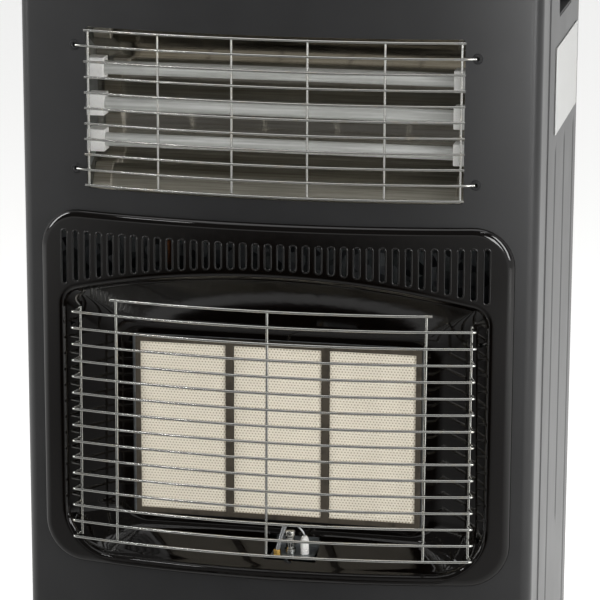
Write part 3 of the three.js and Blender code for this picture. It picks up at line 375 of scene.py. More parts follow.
@dataclass(frozen=True)
class Moulded(Finish):
    """Injection-moulded plastic with a spark-eroded skin."""

    grain: float = 0.9
    depth: float = 0.02

    def draw(self, coat: Coat) -> None:
        """Draws the tool's grain and the slow change of shine where hands have been."""
        values = {"Vector": coat.place, "Scale": 1000 / self.grain}
        grain = add_node(coat.tree, "ShaderNodeTexVoronoi", values, feature="SMOOTH_F1")
        self.relief(coat, grain.outputs[0], self.depth)
        self.mottle(coat, 35.0, 0.05)


@dataclass(frozen=True)
class Tarnished(Finish):
    """Bare brass, copper or steel: bright metal with a darker bloom of tarnish."""

    bloom: str = "#6d5a3a"

    def draw(self, coat: Coat) -> None:
        """Draws the bloom in soft patches about 12 mm across."""
        cloud = self.mottle(coat, 85.0, 0.1)
        self.tint(coat, cloud, self.bloom, 0.5, 0.8)


FINISHES: dict[str, Finish] = {
    # The cabinet: near-black and satin, so that it darkens in the middle of the bow.
    "graphite_steel": PowderCoat("graphite_powder_coat", "#1d1d1e", 0.34, specular=0.5),
    # The bezel: wet brown-black with sharp glints on its rims.
    "black_enamel": Enamel("black_fired_enamel", "#050302", 0.06, specular=0.4),
    # Both guards: thin bright lines with dark undersides.
    "chrome_wire": PlatedWire("chrome_plated_wire", "#b4b4b0", 0.13, metallic=1.0),
    # The trough behind the tubes: long soft bands of light and dark.
    "bright_reflector": RolledReflector("rolled_aluminium_reflector", "#b3afa6", 0.09, metallic=1.0),
    # Bare inner steelwork, forks and plates: pale and patchy.
    "galvanised_steel": Galvanised("hot_dipped_zinc", "#85898c", 0.42, metallic=0.9),
    # The shield: zinc painted near-black, a painted shade for what shows, dark, through the bezel's slots.
    "shield_steel": Galvanised("heat_stained_zinc", "#2b2b2c", 0.5, metallic=0.6),
    # The plaques' retainer: dull brown joints between the pale plaques.
    "clamp_steel": Tarnished("heat_dulled_steel", "#5d564c", 0.5, metallic=0.7, bloom="#3a342d"),
    "brass": Tarnished("machined_brass", "#b8944f", 0.28, metallic=1.0),
    "copper": Tarnished("drawn_copper", "#9a5f3c", 0.34, metallic=1.0, bloom="#4a2c1e"),
    # The plaques: cream, chalky, and dotted with ports in painted shade.
    "plaque_ceramic": PorousCeramic("porous_plaque_ceramic", "#efe7d6", 0.9),
    "white_ceramic": Steatite("steatite_insulator", "#eeedea", 0.45),
    "frosted_quartz": FrostedQuartz("frosted_quartz", "#b4b5b1", 0.3),
    "black_plastic": Moulded("black_moulded_plastic", "#1b1b1c", 0.5),
    "gloss_black_plastic": Moulded("black_polished_plastic", "#131314", 0.2, grain=3.0, depth=0.004),
    "red_plastic": Moulded("red_polished_plastic", "#a01c18", 0.25, grain=3.0, depth=0.004),
    "caster_tread": Moulded("caster_rubber", "#161616", 0.7, grain=1.4, depth=0.03),
    # The side's blank label: flat pale grey.
    "label_film": Moulded("blank_label_film", "#c9c9c7", 0.45, grain=0.7, depth=0.003),
    "marking_ink": Finish("white_marking_ink", "#e4e4e2", 0.5),
    "zinc_screw": Tarnished("zinc_plated_screw", "#b4b6b8", 0.3, metallic=1.0, bloom="#7d7f82"),
}


class Paintshop:
    """Makes each finish once and puts it on pieces."""

    def __init__(self) -> None:
        """Starts with nothing mixed."""
        self.mixed: dict[str, bpy.types.Material] = {}

    def dress(self, piece: bpy.types.Object, finish: str) -> None:
        """Gives a piece one finish all over.

        Args:
            piece: The object to finish.
            finish: A key of FINISHES.
        """
        if finish not in self.mixed:
            self.mixed[finish] = FINISHES[finish].build()
        for i in range(len(piece.material_slots)):
            piece.material_slots[i].material = self.mixed[finish]
        if not piece.material_slots:
            piece.data.materials.append(self.mixed[finish])


# ---- Bench ----------------------------------------------------------------------------------------


def arc(centre: Flat, radius: float, start: float, end: float, steps: int) -> list[Flat]:
    """Points of a round stretch.

    Args:
        centre: Its centre.
        radius: Its radius.
        start: First angle, in degrees.
        end: Last angle, in degrees.
        steps: How many chords.

    Returns:
        steps + 1 points.
    """
    angles = [math.radians(start + (end - start) * i / steps) for i in range(steps + 1)]
    return [(centre[0] + radius * math.cos(a), centre[1] + radius * math.sin(a)) for a in angles]


def rounded_box(left: float, right: float, bottom: float, top: float, radius: float) -> list[Flat]:
    """The outline of a box with round corners, anticlockwise from its right side."""
    return [
        *arc((right - radius, top - radius), radius, 0, 90, 8),
        *arc((left + radius, top - radius), radius, 90, 180, 8),
        *arc((left + radius, bottom + radius), radius, 180, 270, 8),
        *arc((right - radius, bottom + radius), radius, 270, 360, 8),
    ]


def spread(start: float, end: float, steps: int) -> list[float]:
    """Evenly spaced values from start to end, both included."""
    return [start + (end - start) * i / steps for i in range(steps + 1)]


class Bench:
    """The modelling bench: it places cabinet millimetres in the object's frame and works the meshes."""

    def __init__(self, nodes: dict[str, bpy.types.Object], datum_y: float) -> None:
        """Sets the bench up.

        Args:
            nodes: The CAD nodes by name.
            datum_y: Where the cabinet frame's y = 0 lies, in metres.
        """
        self.nodes = nodes
        self.datum_y = datum_y
        self.paint = Paintshop()

    def at(self, point: Point) -> Vector:
        """A cabinet point in metres, in the object's frame."""
        return Vector((point[0] * MM, point[1] * MM + self.datum_y, point[2] * MM))

    def take(self, piece: bpy.types.Object) -> None:
        """Selects one piece alone and makes it active."""
        bpy.ops.object.select_all(action="DESELECT")
        piece.select_set(True)
        bpy.context.view_layer.objects.active = piece

    def draw(
        self,
        name: str,
        rings: Sequence[Sequence[Point]],
        caps: bool = True,
        loop: bool = False,
    ) -> bpy.types.Object:
        """Extrudes a ring of points from outline to outline.

        Args:
            name: The piece's name.
            rings: Outlines of equal length, in cabinet millimetres.
            caps: Whether both ends are filled.
            loop: Whether the last outline joins the first.

        Returns:
            The new mesh object.
        """
        bpy.ops.object.select_all(action="DESELECT")
        bpy.ops.mesh.primitive_circle_add(vertices=len(rings[0]), fill_type="NOTHING")
        piece = bpy.context.object
        piece.name = name
        places = [[self.at(p) for p in ring] for ring in rings]
        if loop:
            places.append(places[0])
        bpy.ops.object.mode_set(mode="EDIT")
        mesh = bmesh.from_edit_mesh(piece.data)
        order = mesh.verts.layers.int.new("order")
        for i, corner in enumerate(mesh.verts):
            corner[order] = i
            corner.co = places[0][i]
        bmesh.update_edit_mesh(piece.data)
        for ring in places[1:]:
            bpy.ops.mesh.extrude_edges_indiv()
            mesh = bmesh.from_edit_mesh(piece.data)
            order = mesh.verts.layers.int["order"]
            for corner in mesh.verts:
                if corner.select:
                    corner.co = ring[corner[order]]
            bmesh.update_edit_mesh(piece.data)
        if caps and not loop:
            bpy.ops.mesh.edge_face_add()
            bpy.ops.mesh.select_all(action="DESELECT")
            bpy.ops.mesh.select_non_manifold()
            bpy.ops.mesh.edge_face_add()
        bpy.ops.mesh.select_all(action="SELECT")
        bpy.ops.mesh.remove_doubles(threshold=1e-6)
        bpy.ops.mesh.normals_make_consistent(inside=False)
        bpy.ops.object.mode_set(mode="OBJECT")
        piece.data.attributes.remove(piece.data.attributes["order"])
        return piece

    def sheet(
        self, name: str, us: Sequence[float], vs: Sequence[float], place: Callable[[float, float], Point]
    ) -> bpy.types.Object:
        """Bends a subdivided sheet over a surface.

        Args:
            name: The piece's name.
            us: Values across the sheet.
            vs: Values up the sheet.
            place: Gives the point of the surface for a value of each.

        Returns:
            The new mesh object, one layer thick.
        """
        columns, rows = len(us) - 1, len(vs) - 1
        bpy.ops.object.select_all(action="DESELECT")
        bpy.ops.mesh.primitive_grid_add(x_subdivisions=columns, y_subdivisions=rows, size=2)
        piece = bpy.context.object
        piece.name = name
        for corner in piece.data.vertices:
            u = us[round((corner.co.x + 1) / 2 * columns)]
            v = vs[round((corner.co.y + 1) / 2 * rows)]
            corner.co = self.at(place(u, v))
        return piece

    def prism(
        self, name: str, outline: Sequence[Flat], axis: str, start: float, end: float
    ) -> bpy.types.Object:
        """A flat outline pushed along an axis: a cutter, or a blank to shape further.

        Args:
            name: The piece's name.
            outline: Points as (x, y) for axis z, (x, z) for y and (y, z) for x.
            axis: The axis it is pushed along.
            start: Where it starts on that axis.
            end: Where it ends.

        Returns:
            The new closed mesh object.
        """
        lay = {
            "x": lambda a, b, h: (h, a, b),
            "y": lambda a, b, h: (a, h, b),
            "z": lambda a, b, h: (a, b, h),
        }[axis]
        return self.draw(name, [[lay(a, b, h) for a, b in outline] for h in (start, end)])

    def turned(
        self,
        name: str,
        profile: Sequence[Flat],
        axis: str,
        centre: Point,
        segments: int = 48,
        loop: bool = False,
    ) -> bpy.types.Object:
        """Turns a profile about a line, as on a lathe.

        Args:
            name: The piece's name.
            profile: Points as (radius, distance along the axis).
            axis: The line's direction.
            centre: A point of the line.
            segments: How many flats the round has.
            loop: Whether the last point joins the first, for a ring.

        Returns:
            The new mesh object.
        """
        rings = []
        for radius, along in profile:
            ring = []
            for i in range(segments):
                a = 2 * math.pi * (i + 0.5) / segments
                s, c = radius * math.sin(a), radius * math.cos(a)
                step = {"x": (along, c, s), "y": (s, along, c), "z": (c, s, along)}[axis]
                ring.append(tuple(p + q for p, q in zip(centre, step)))
            rings.append(ring)
        return self.draw(name, rings, loop=loop)

    def wires(
        self, name: str, runs: Sequence[Sequence[Point]], radius: float, sides: int = 3
    ) -> bpy.types.Object:
        """Bends round wire along smooth runs.

        Args:
            name: The piece's name.
            runs: The control points of each wire.
            radius: The wire's radius.
            sides: Blender's bevel resolution for the wire's roundness.

        Returns:
            One mesh object with every wire.
        """
        bpy.ops.object.select_all(action="DESELECT")
        bpy.ops.curve.primitive_bezier_curve_add()
        piece = bpy.context.object
        piece.name = name
        curve = piece.data
        curve.splines.clear()
        for run in runs:
            spline = curve.splines.new("NURBS")
            spline.points.add(len(run) - 1)
            for control, point in zip(spline.points, run):
                control.co = (*self.at(point), 1.0)
            spline.order_u = min(3, len(run))
            spline.use_endpoint_u = True
            spline.resolution_u = 3
        curve.dimensions = "3D"
        curve.bevel_depth = radius * MM
        curve.bevel_resolution = sides
        curve.use_fill_caps = True
        bpy.ops.object.convert(target="MESH")
        return bpy.context.object

    def modify(self, piece: bpy.types.Object, kind: str, **settings) -> None:
        """Adds a modifier to a piece and applies it.

        Args:
            piece: The object.
            kind: The modifier's type.
            **settings: Its properties.
        """
        self.take(piece)
        modifier = piece.modifiers.new(kind.title(), kind)
        for name, value in settings.items():
            setattr(modifier, name, value)
        bpy.ops.object.modifier_apply(modifier=modifier.name)

    def face_towards(self, piece: bpy.types.Object, way: Vector) -> None:
        """Makes an open sheet's faces agree and look a given way.

        Args:
            piece: The sheet.
            way: The direction that its largest face should look in.
        """
        self.close_up(piece)
        face = max(piece.data.polygons, key=lambda polygon: polygon.area * abs(polygon.normal.dot(way)))
        if face.normal.dot(way) < 0:
            self.close_up(piece, inside=True)

    def close_up(self, piece: bpy.types.Object, inside: bool = False) -> None:
        """Turns all of a piece's faces outwards, or inwards."""
        self.take(piece)
        bpy.ops.object.mode_set(mode="EDIT")
        bpy.ops.mesh.select_all(action="SELECT")
        bpy.ops.mesh.normals_make_consistent(inside=inside)
        bpy.ops.object.mode_set(mode="OBJECT")

    def cut(self, piece: bpy.types.Object, *cutters: bpy.types.Object) -> None:
        """Takes the cutters' shapes out of a piece and clears them away.

        Args:
            piece: The object that is cut.
            *cutters: Closed objects.
        """
        tool = self.join("cutter", cutters)
        self.modify(piece, "BOOLEAN", operation="DIFFERENCE", object=tool, solver="EXACT")
        bpy.data.objects.remove(tool)

    def join(self, name: str, pieces: Sequence[bpy.types.Object]) -> bpy.types.Object:
        """Joins pieces into one object.

        Args:
            name: The joined piece's name.
            pieces: The objects to join.

        Returns:
            The joined object.
        """
        self.take(pieces[0])
        for piece in pieces:
            piece.select_set(True)
        if len(pieces) > 1:
            bpy.ops.object.join()
        pieces[0].name = name
        return pieces[0]

    def soften(
        self, piece: bpy.types.Object, width: float = 0.0, angle: float = 35.0, segments: int = 2
    ) -> None:
        """Rounds a piece's sharp edges, smooths its curves and keeps its flats flat.

        Args:
            piece: The object.
            width: The rounding, in millimetres, or 0 to leave the edges as they are.
            angle: Edges sharper than this many degrees are rounded.
            segments: Steps across the rounding.
        """
        if width > 0:
            self.modify(
                piece,
                "BEVEL",
                width=width * MM,
                segments=segments,
                limit_method="ANGLE",
                angle_limit=math.radians(angle),
                use_clamp_overlap=True,
            )
        self.take(piece)
        bpy.ops.object.shade_smooth_by_angle(angle=math.radians(SMOOTH_UNDER))
        self.modify(piece, "WEIGHTED_NORMAL", mode="FACE_AREA", keep_sharp=True)

    def refined(self, node: str, width: float, segments: int = 2) -> bpy.types.Object:
        """A copy of a CAD node with its flats merged and its edges rounded.

        Args:
            node: The CAD node's name.
            width: The rounding of its edges, in millimetres.
            segments: Steps across the rounding.

        Returns:
            The new object, which still has to be seated.
        """
        source = self.nodes[node]
        piece = bpy.data.objects.new(node + "_finished", source.data.copy())
        piece.data.materials.clear()
        bpy.context.scene.collection.objects.link(piece)
        self.take(piece)
        bpy.ops.object.mode_set(mode="EDIT")
        bpy.ops.mesh.select_all(action="SELECT")
        bpy.ops.mesh.remove_doubles(threshold=1e-6)
        bpy.ops.mesh.dissolve_limited(angle_limit=math.radians(0.6))
        bpy.ops.mesh.normals_make_consistent(inside=False)
        bpy.ops.object.mode_set(mode="OBJECT")
        self.soften(piece, width, segments=segments)
        return piece

    def fit(self, node: str, width: float, finish: str, body: str = "cabinet", segments: int = 2) -> None:
        """Seats a copy of a CAD node, its edges rounded, in the node's own place.

        Args:
            node: The CAD node's name.
            width: The rounding of its edges, in millimetres.
            finish: A key of FINISHES, which is the record's material slot too.
            body: The body it moves with.
            segments: Steps across the rounding.
        """
        self.seat(self.refined(node, width, segments), finish, node, body=body)

    def seat(
        self, piece: bpy.types.Object, finish: str, *nodes: str, body: str = "cabinet", slot: str = ""
    ) -> None:
        """Finishes a piece, fixes it to its body and lets it stand for CAD nodes.

        Args:
            piece: The object.
            finish: A key of FINISHES.
            *nodes: The CAD nodes that it stands for.
            body: The body it moves with.
            slot: The record's material slot, where it isn't named like the finish. Not used.
        """
        self.paint.dress(piece, finish)
        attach(piece, body)
        if nodes:
            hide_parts(*nodes)
        LOG.info("%s: %d faces, on %s", piece.name, len(piece.data.polygons), body)


# ---- Cabinet --------------------------------------------------------------------------------------


@dataclass(frozen=True)
class Plan:
    """The cabinet seen from above, which the front panel, the lid and the bezel share."""

    half_width: float = 210.0
    bow_radius: float = 742.0
    corner_radius: float = 12.0
    side_depth: float = 264.0
    slot_line: float = 490.0

    @property
    def centre_y(self) -> float:
        """The centre of the bow."""
        reach = self.half_width - self.corner_radius
        return math.sqrt((self.bow_radius - self.corner_radius) ** 2 - reach**2)

    def bow_y(self, x: float, inset: float = 0.0) -> float:
        """The y of the bowed face at x, or of a face set in behind it."""
        return self.centre_y - math.sqrt((self.bow_radius - inset) ** 2 - x * x)

    def front_line(self, inset: float, bow_steps: int = 72, corner_steps: int = 8) -> list[Flat]:
        """The front's outline from left to right.

        Args:
            inset: How far inside the outer face it runs.
            bow_steps: Chords across the bow.
            corner_steps: Chords round each corner.

        Returns:
            Points in x and y.
        """
        reach = self.half_width - self.corner_radius
        turn = math.degrees(math.asin(reach / (self.bow_radius - self.corner_radius)))
        bow = arc((0, self.centre_y), self.bow_radius - inset, -90 - turn, -90 + turn, bow_steps)
        right = arc((reach, 0), self.corner_radius - inset, -90 + turn, 0, corner_steps)[1:]
        left = [(-x, y) for x, y in reversed(right)]
        return [*left, *bow, *right]

    def outline(self, inset: float) -> list[Flat]:
        """The whole cabinet's outline, set in all round."""
        edge, back = self.half_width - inset, self.side_depth - inset
        return [*self.front_line(inset), *[(x, back) for x in (edge, -edge)]]


@dataclass
class Casing:
    """The sheet-steel cabinet: front, sides, lid, base, rear cover and what is fixed to them."""

    bench: Bench
    plan: Plan = field(default_factory=Plan)
    sheet: float = 1.2
    bottom: float = 58.0
    top: float = 696.0
    flange: float = 14.0
    window: tuple[float, float, float] = (152.0, 526.2, 656.4)
    opening: tuple[float, float, float, float] = (184.0, 214.5, 500.0, 26.0)
    prong_x: float = 161.2
    prong_z: tuple[float, float] = (641.31, 541.39)
    strip_fall: float = 2.0
    strip_depth: float = 56.0
    side_x: float = 208.8
    grooves: tuple[float, ...] = (109.6, 173.3, 240.3)
    groove_top: float = 554.0
    groove_ends: tuple[float, ...] = (58.0, 202.0, 58.0)
    groove_depth: float = 0.9
    groove_half: float = 4.0
    grip: tuple[float, float, float, float] = (115.5, 203.5, 654.5, 684.5)

    def build(self) -> None:
        """Builds every piece of the casing."""
        self.front_panel()
        for side in Side:
            self.side_panel(side)
        self.lid()
        self.plain_pieces()
        self.screws()

    def front_panel(self) -> None:
        """The bowed front, with its window, its burner opening and its rubber-lined prong holes."""
        half = self.plan.half_width
        end = half - self.flange
        line = [(-end, 0.7), (-half, 0.7), *self.plan.front_line(0.0), (half, 0.7), (end, 0.7)]
        panel = self.bench.sheet(
            "front_panel_sheet",
            list(range(len(line))),
            spread(self.bottom, self.top, 16),
            lambda u, v: (line[int(u)][0], line[int(u)][1], v),
        )
        self.bench.modify(panel, "SOLIDIFY", thickness=self.sheet * MM, offset=-1.0, use_even_offset=True)
        self.bench.close_up(panel)
        half, low, high = self.window
        wide, base, brow, corner = self.opening
        cutters = [
            self.bench.prism("window_cutter", rounded_box(-half, half, low, high, 3.0), "y", -60, -4),
            self.bench.prism("burner_cutter", rounded_box(-wide, wide, base, brow, corner), "y", -60, -4),
        ]
        for x in (-self.prong_x, self.prong_x):
            for z in self.prong_z:
                hole = arc((x, z), 3.0, 0, 345, 23)
                cutters.append(self.bench.prism("prong_cutter", hole, "y", -40, -4))
        self.bench.cut(panel, *cutters)
        self.bench.soften(panel, 0.3, segments=2)
        self.bench.seat(panel, "graphite_steel", "front_panel")
        self.grommets()

    def grommets(self) -> None:
        """Black bushes in the four holes that take the upper guard's ends."""
        rings = []
        for x in (-self.prong_x, self.prong_x):
            for z in self.prong_z:
                y = self.plan.bow_y(x)
                profile = [(1.5, -0.5), (2.4, -1.4), (3.6, -1.3), (4.2, -0.4), (4.2, 0.6), (1.5, 0.6)]
                rings.append(self.bench.turned("grommet", profile, "y", (x, y, z), segments=24, loop=True))
        bushes = self.bench.join("guard_grommets", rings)
        self.bench.soften(bushes)
        self.bench.seat(bushes, "black_plastic")

    def side_line(self) -> list[tuple[float, float, int]]:
        """The side panel's outer face seen from above.

        Returns:
            Points as x, y and the number of the groove they lie in, or -1.
        """
        front, step, half, side_x = 1.0, self.strip_depth, self.plan.half_width, self.side_x
        strip_x = half - self.strip_fall
        line = [(half - self.flange, front, -1), (half - 0.6, front, -1), (half - 0.2, front + 0.4, -1)]
        line += [(strip_x, step - 2, -1), (strip_x, step - 0.4, -1), (strip_x + 0.5, step + 0.4, -1)]
        line += [(side_x - 0.5, step + 1.6, -1), (side_x, step + 2.6, -1)]
        reach = self.groove_half * 1.35
        for number, middle in enumerate(self.grooves):
            line += [(side_x, middle + offset, number) for offset in spread(-reach, reach, 14)]
        back = self.plan.side_depth
        line += [(side_x, back - 1.4, -1), (side_x - 0.4, back - 0.4, -1), (side_x - 1.4, back, -1)]
        return [*line, (side_x - 28.0, back, -1)]

    def press(self, y: float, z: float, number: int) -> float:
        """How deep a groove is pressed at a point.

        Args:
            y: Distance from the panel's front edge.
            z: Height.
            number: Which groove.

        Returns:
            The depth, in millimetres.
        """
        across = abs(y - self.grooves[number]) / (self.groove_half * 1.35)
        low, high = self.groove_ends[number], self.groove_top
        start = 1.0 if low <= self.bottom else min(max((z - low) / 14, 0.0), 1.0)
        fade = min(start, min(max((high - z) / 14, 0.0), 1.0))
        fade = fade * fade * (3 - 2 * fade)
        return self.groove_depth * fade * 0.5 * (1 + math.cos(math.pi * min(across, 1.0)))

    def side_panel(self, side: Side) -> None:
        """One side, with its sloping front strip, pressed grooves and hand-grip cut-out."""
        line = self.side_line()

        def place(u: float, v: float) -> Point:
            """The outer face at a point of the line and a height."""
            x, y, number = line[int(u)]
            depth = self.press(y, v, number) if number >= 0 else 0.0
            return (side.value * (x - depth), y, v)

        # Heights of the sheet's rows, close together where the grooves run out.
        rows = [58, 100, 150, 196, 200, 203, 206, 210, 214, 220, 280, 340, 400, 460, 520]
        rows += [536, 540, 543, 546, 549, 552, 554, 560, 600, 650, 696]
        name = "side_panel_" + side.name.lower()
        panel = self.bench.sheet(name + "_sheet", list(range(len(line))), rows, place)
        self.bench.face_towards(panel, Vector((side.value, 0.0, 0.0)))
        self.bench.modify(panel, "SOLIDIFY", thickness=self.sheet * MM, offset=-1.0)
        self.bench.close_up(panel)
        front, back, low, high = self.grip
        outline = rounded_box(front, back, low, high, 5.0)
        near, far = side.value * (self.side_x - 6), side.value * (self.side_x + 6)
        self.bench.cut(panel, self.bench.prism("grip_cutter", outline, "x", near, far))
        self.bench.soften(panel, 0.25, angle=50)
        self.bench.seat(panel, "graphite_steel", name)
        self.bench.fit("hand_grip_" + side.name.lower(), 0.5, "black_plastic", segments=3)

    def lid(self) -> None:
        """The top panel: a pressed lid with a rounded edge, holed for the controls."""
        low, high, radius, wall = self.top + CLEARANCE, 708.3, 4.0, 1.5
        turn = spread(0, math.pi / 2, 6)
        edge = [(radius * (1 - math.cos(a)), high - radius * (1 - math.sin(a))) for a in turn]
        rings = [[(x, y, z) for x, y in self.plan.outline(inset)] for inset, z in [(0.0, low), *edge]]
        lid = self.bench.draw("lid_pressing", rings)
        hollow = [(x, y, low - 2) for x, y in self.plan.outline(wall)]
        roof = [(x, y, high - radius - 0.6) for x, y in self.plan.outline(wall)]
        crown = [(x, y, high - wall) for x, y in self.plan.outline(radius + 0.6)]
        cutters = [self.bench.draw("lid_hollow", [hollow, roof, crown])]
        cutters += control_cutters(self.bench, low - 2, high + 2)
        self.bench.cut(lid, *cutters)
        self.bench.soften(lid, 0.2, angle=60)
        self.bench.seat(lid, "graphite_steel", "top_panel")

    def plain_pieces(self) -> None:
        """Folded sheets whose CAD shape is right and only need their edges rounded."""
        for node, width in (("base_plate", 0.4), ("rear_rail", 0.3)):
            self.bench.fit(node, width, "graphite_steel")
        self.bench.fit("rear_cover", 0.45, "graphite_steel", "rear_cover")
        # The shield's near-black zinc is painted shade, for the dark that shows through the bezel's slots.
        shield = self.bench.refined("heat_shield", 0.3)
        self.bench.seat(shield, "shield_steel", "heat_shield", slot="galvanised_steel")
        self.bench.fit("rating_label", 0.15, "label_film")

    def screws(self) -> None:
        """Pan-head screws with a cross recess that hold the rear cross panel."""
        y = self.plan.side_depth - self.sheet - CLEARANCE
        heads = [self.screw((x, y, z)) for x in (-168, -60, 60, 172) for z in (676.0, 628.0)]
        row = self.bench.join("rear_screws", heads)
        self.bench.soften(row)
        self.bench.seat(row, "zinc_screw", slot="galvanised_steel")

    def screw(self, centre: Point) -> bpy.types.Object:
        """One screw head that faces the back.

        Args:
            centre: The middle of the face it sits on.

        Returns:
            The screw head.
        """
        profile = [(3.4, -0.6), (3.4, 0.5), (3.0, 1.3), (2.0, 1.9), (0.9, 2.15)]
        head = self.bench.turned("screw_head", profile, "y", centre, segments=24)
        x, y, z = centre
        for wide, tall, floor in ((1.7, 0.35, 1.2), (0.35, 1.7, 1.1)):
            arm = rounded_box(x - wide, x + wide, z - tall, z + tall, 0.1)
            self.bench.cut(head, self.bench.prism("slot", arm, "y", y + floor, y + 4.2 - floor))
        return head


def control_cutters(bench: Bench, low: float, high: float) -> list[bpy.types.Object]:
    """Cutters for the holes that the controls come up through.

    Args:
        bench: The bench.
        low: Where the cutters start.
        high: Where they end.

    Returns:
        Closed objects for the bench's cut.
    """
    y = Controls.middle_y
    round_holes = [(Controls.knob_x, 5.0), (Controls.piezo_x, 9.3)]
    cutters = [
        bench.turned("hole_cutter", [(radius, low), (radius, high)], "z", (x, y, 0.0), segments=40)
        for x, radius in round_holes
    ]
    for x in Controls.rocker_x:
        outline = rounded_box(x - 12.6, x + 12.6, y - 16.2, y + 16.2, 0.5)
        cutters.append(bench.prism("rocker_cutter", outline, "z", low, high))
    return cutters


# ---- Burner ---------------------------------------------------------------------------------------


@dataclass(frozen=True)
class Frame:
    """A rounded outline in the front: heights are counted from the slot line."""

    half_width: float
    top: float
    bottom: float
    top_corner: float
    bottom_corner: float
    fall: float = 0.0

    def grown(self, out: float) -> "Frame":
        """The same outline moved out all round."""
        return Frame(
            self.half_width + out,
            self.top + out,
            self.bottom - out,
            max(self.top_corner + out, 1.0),
            max(self.bottom_corner + out, 1.0),
            self.fall,
        )

    def points(self) -> list[Flat]:
        """The outline as x and z, round from the middle of its top."""
        slope = math.atan(2 * self.fall * (self.half_width - self.top_corner))
        edge_x = self.half_width - self.top_corner * (1 - math.sin(slope))
        centre_z = self.top - self.fall * edge_x**2 - self.top_corner * math.cos(slope)
        brow = [(edge_x * i / 18, self.top - self.fall * (edge_x * i / 18) ** 2) for i in range(18)]
        turn = 90 - math.degrees(slope)
        shoulder = arc((self.half_width - self.top_corner, centre_z), self.top_corner, turn, 0, 10)
        foot_z = self.bottom + self.bottom_corner
        side = [(self.half_width, z) for z in spread(centre_z, foot_z, 9)[1:-1]]
        foot = arc((self.half_width - self.bottom_corner, foot_z), self.bottom_corner, 0, -90, 10)
        sill = [(x, self.bottom) for x in spread(self.half_width - self.bottom_corner, 0, 16)[1:-1]]
        right = [*brow, *shoulder, *side, *foot, *sill]
        left = [(-x, z) for x, z in reversed(right[1:])]
        return [*right, (0.0, self.bottom), *left]


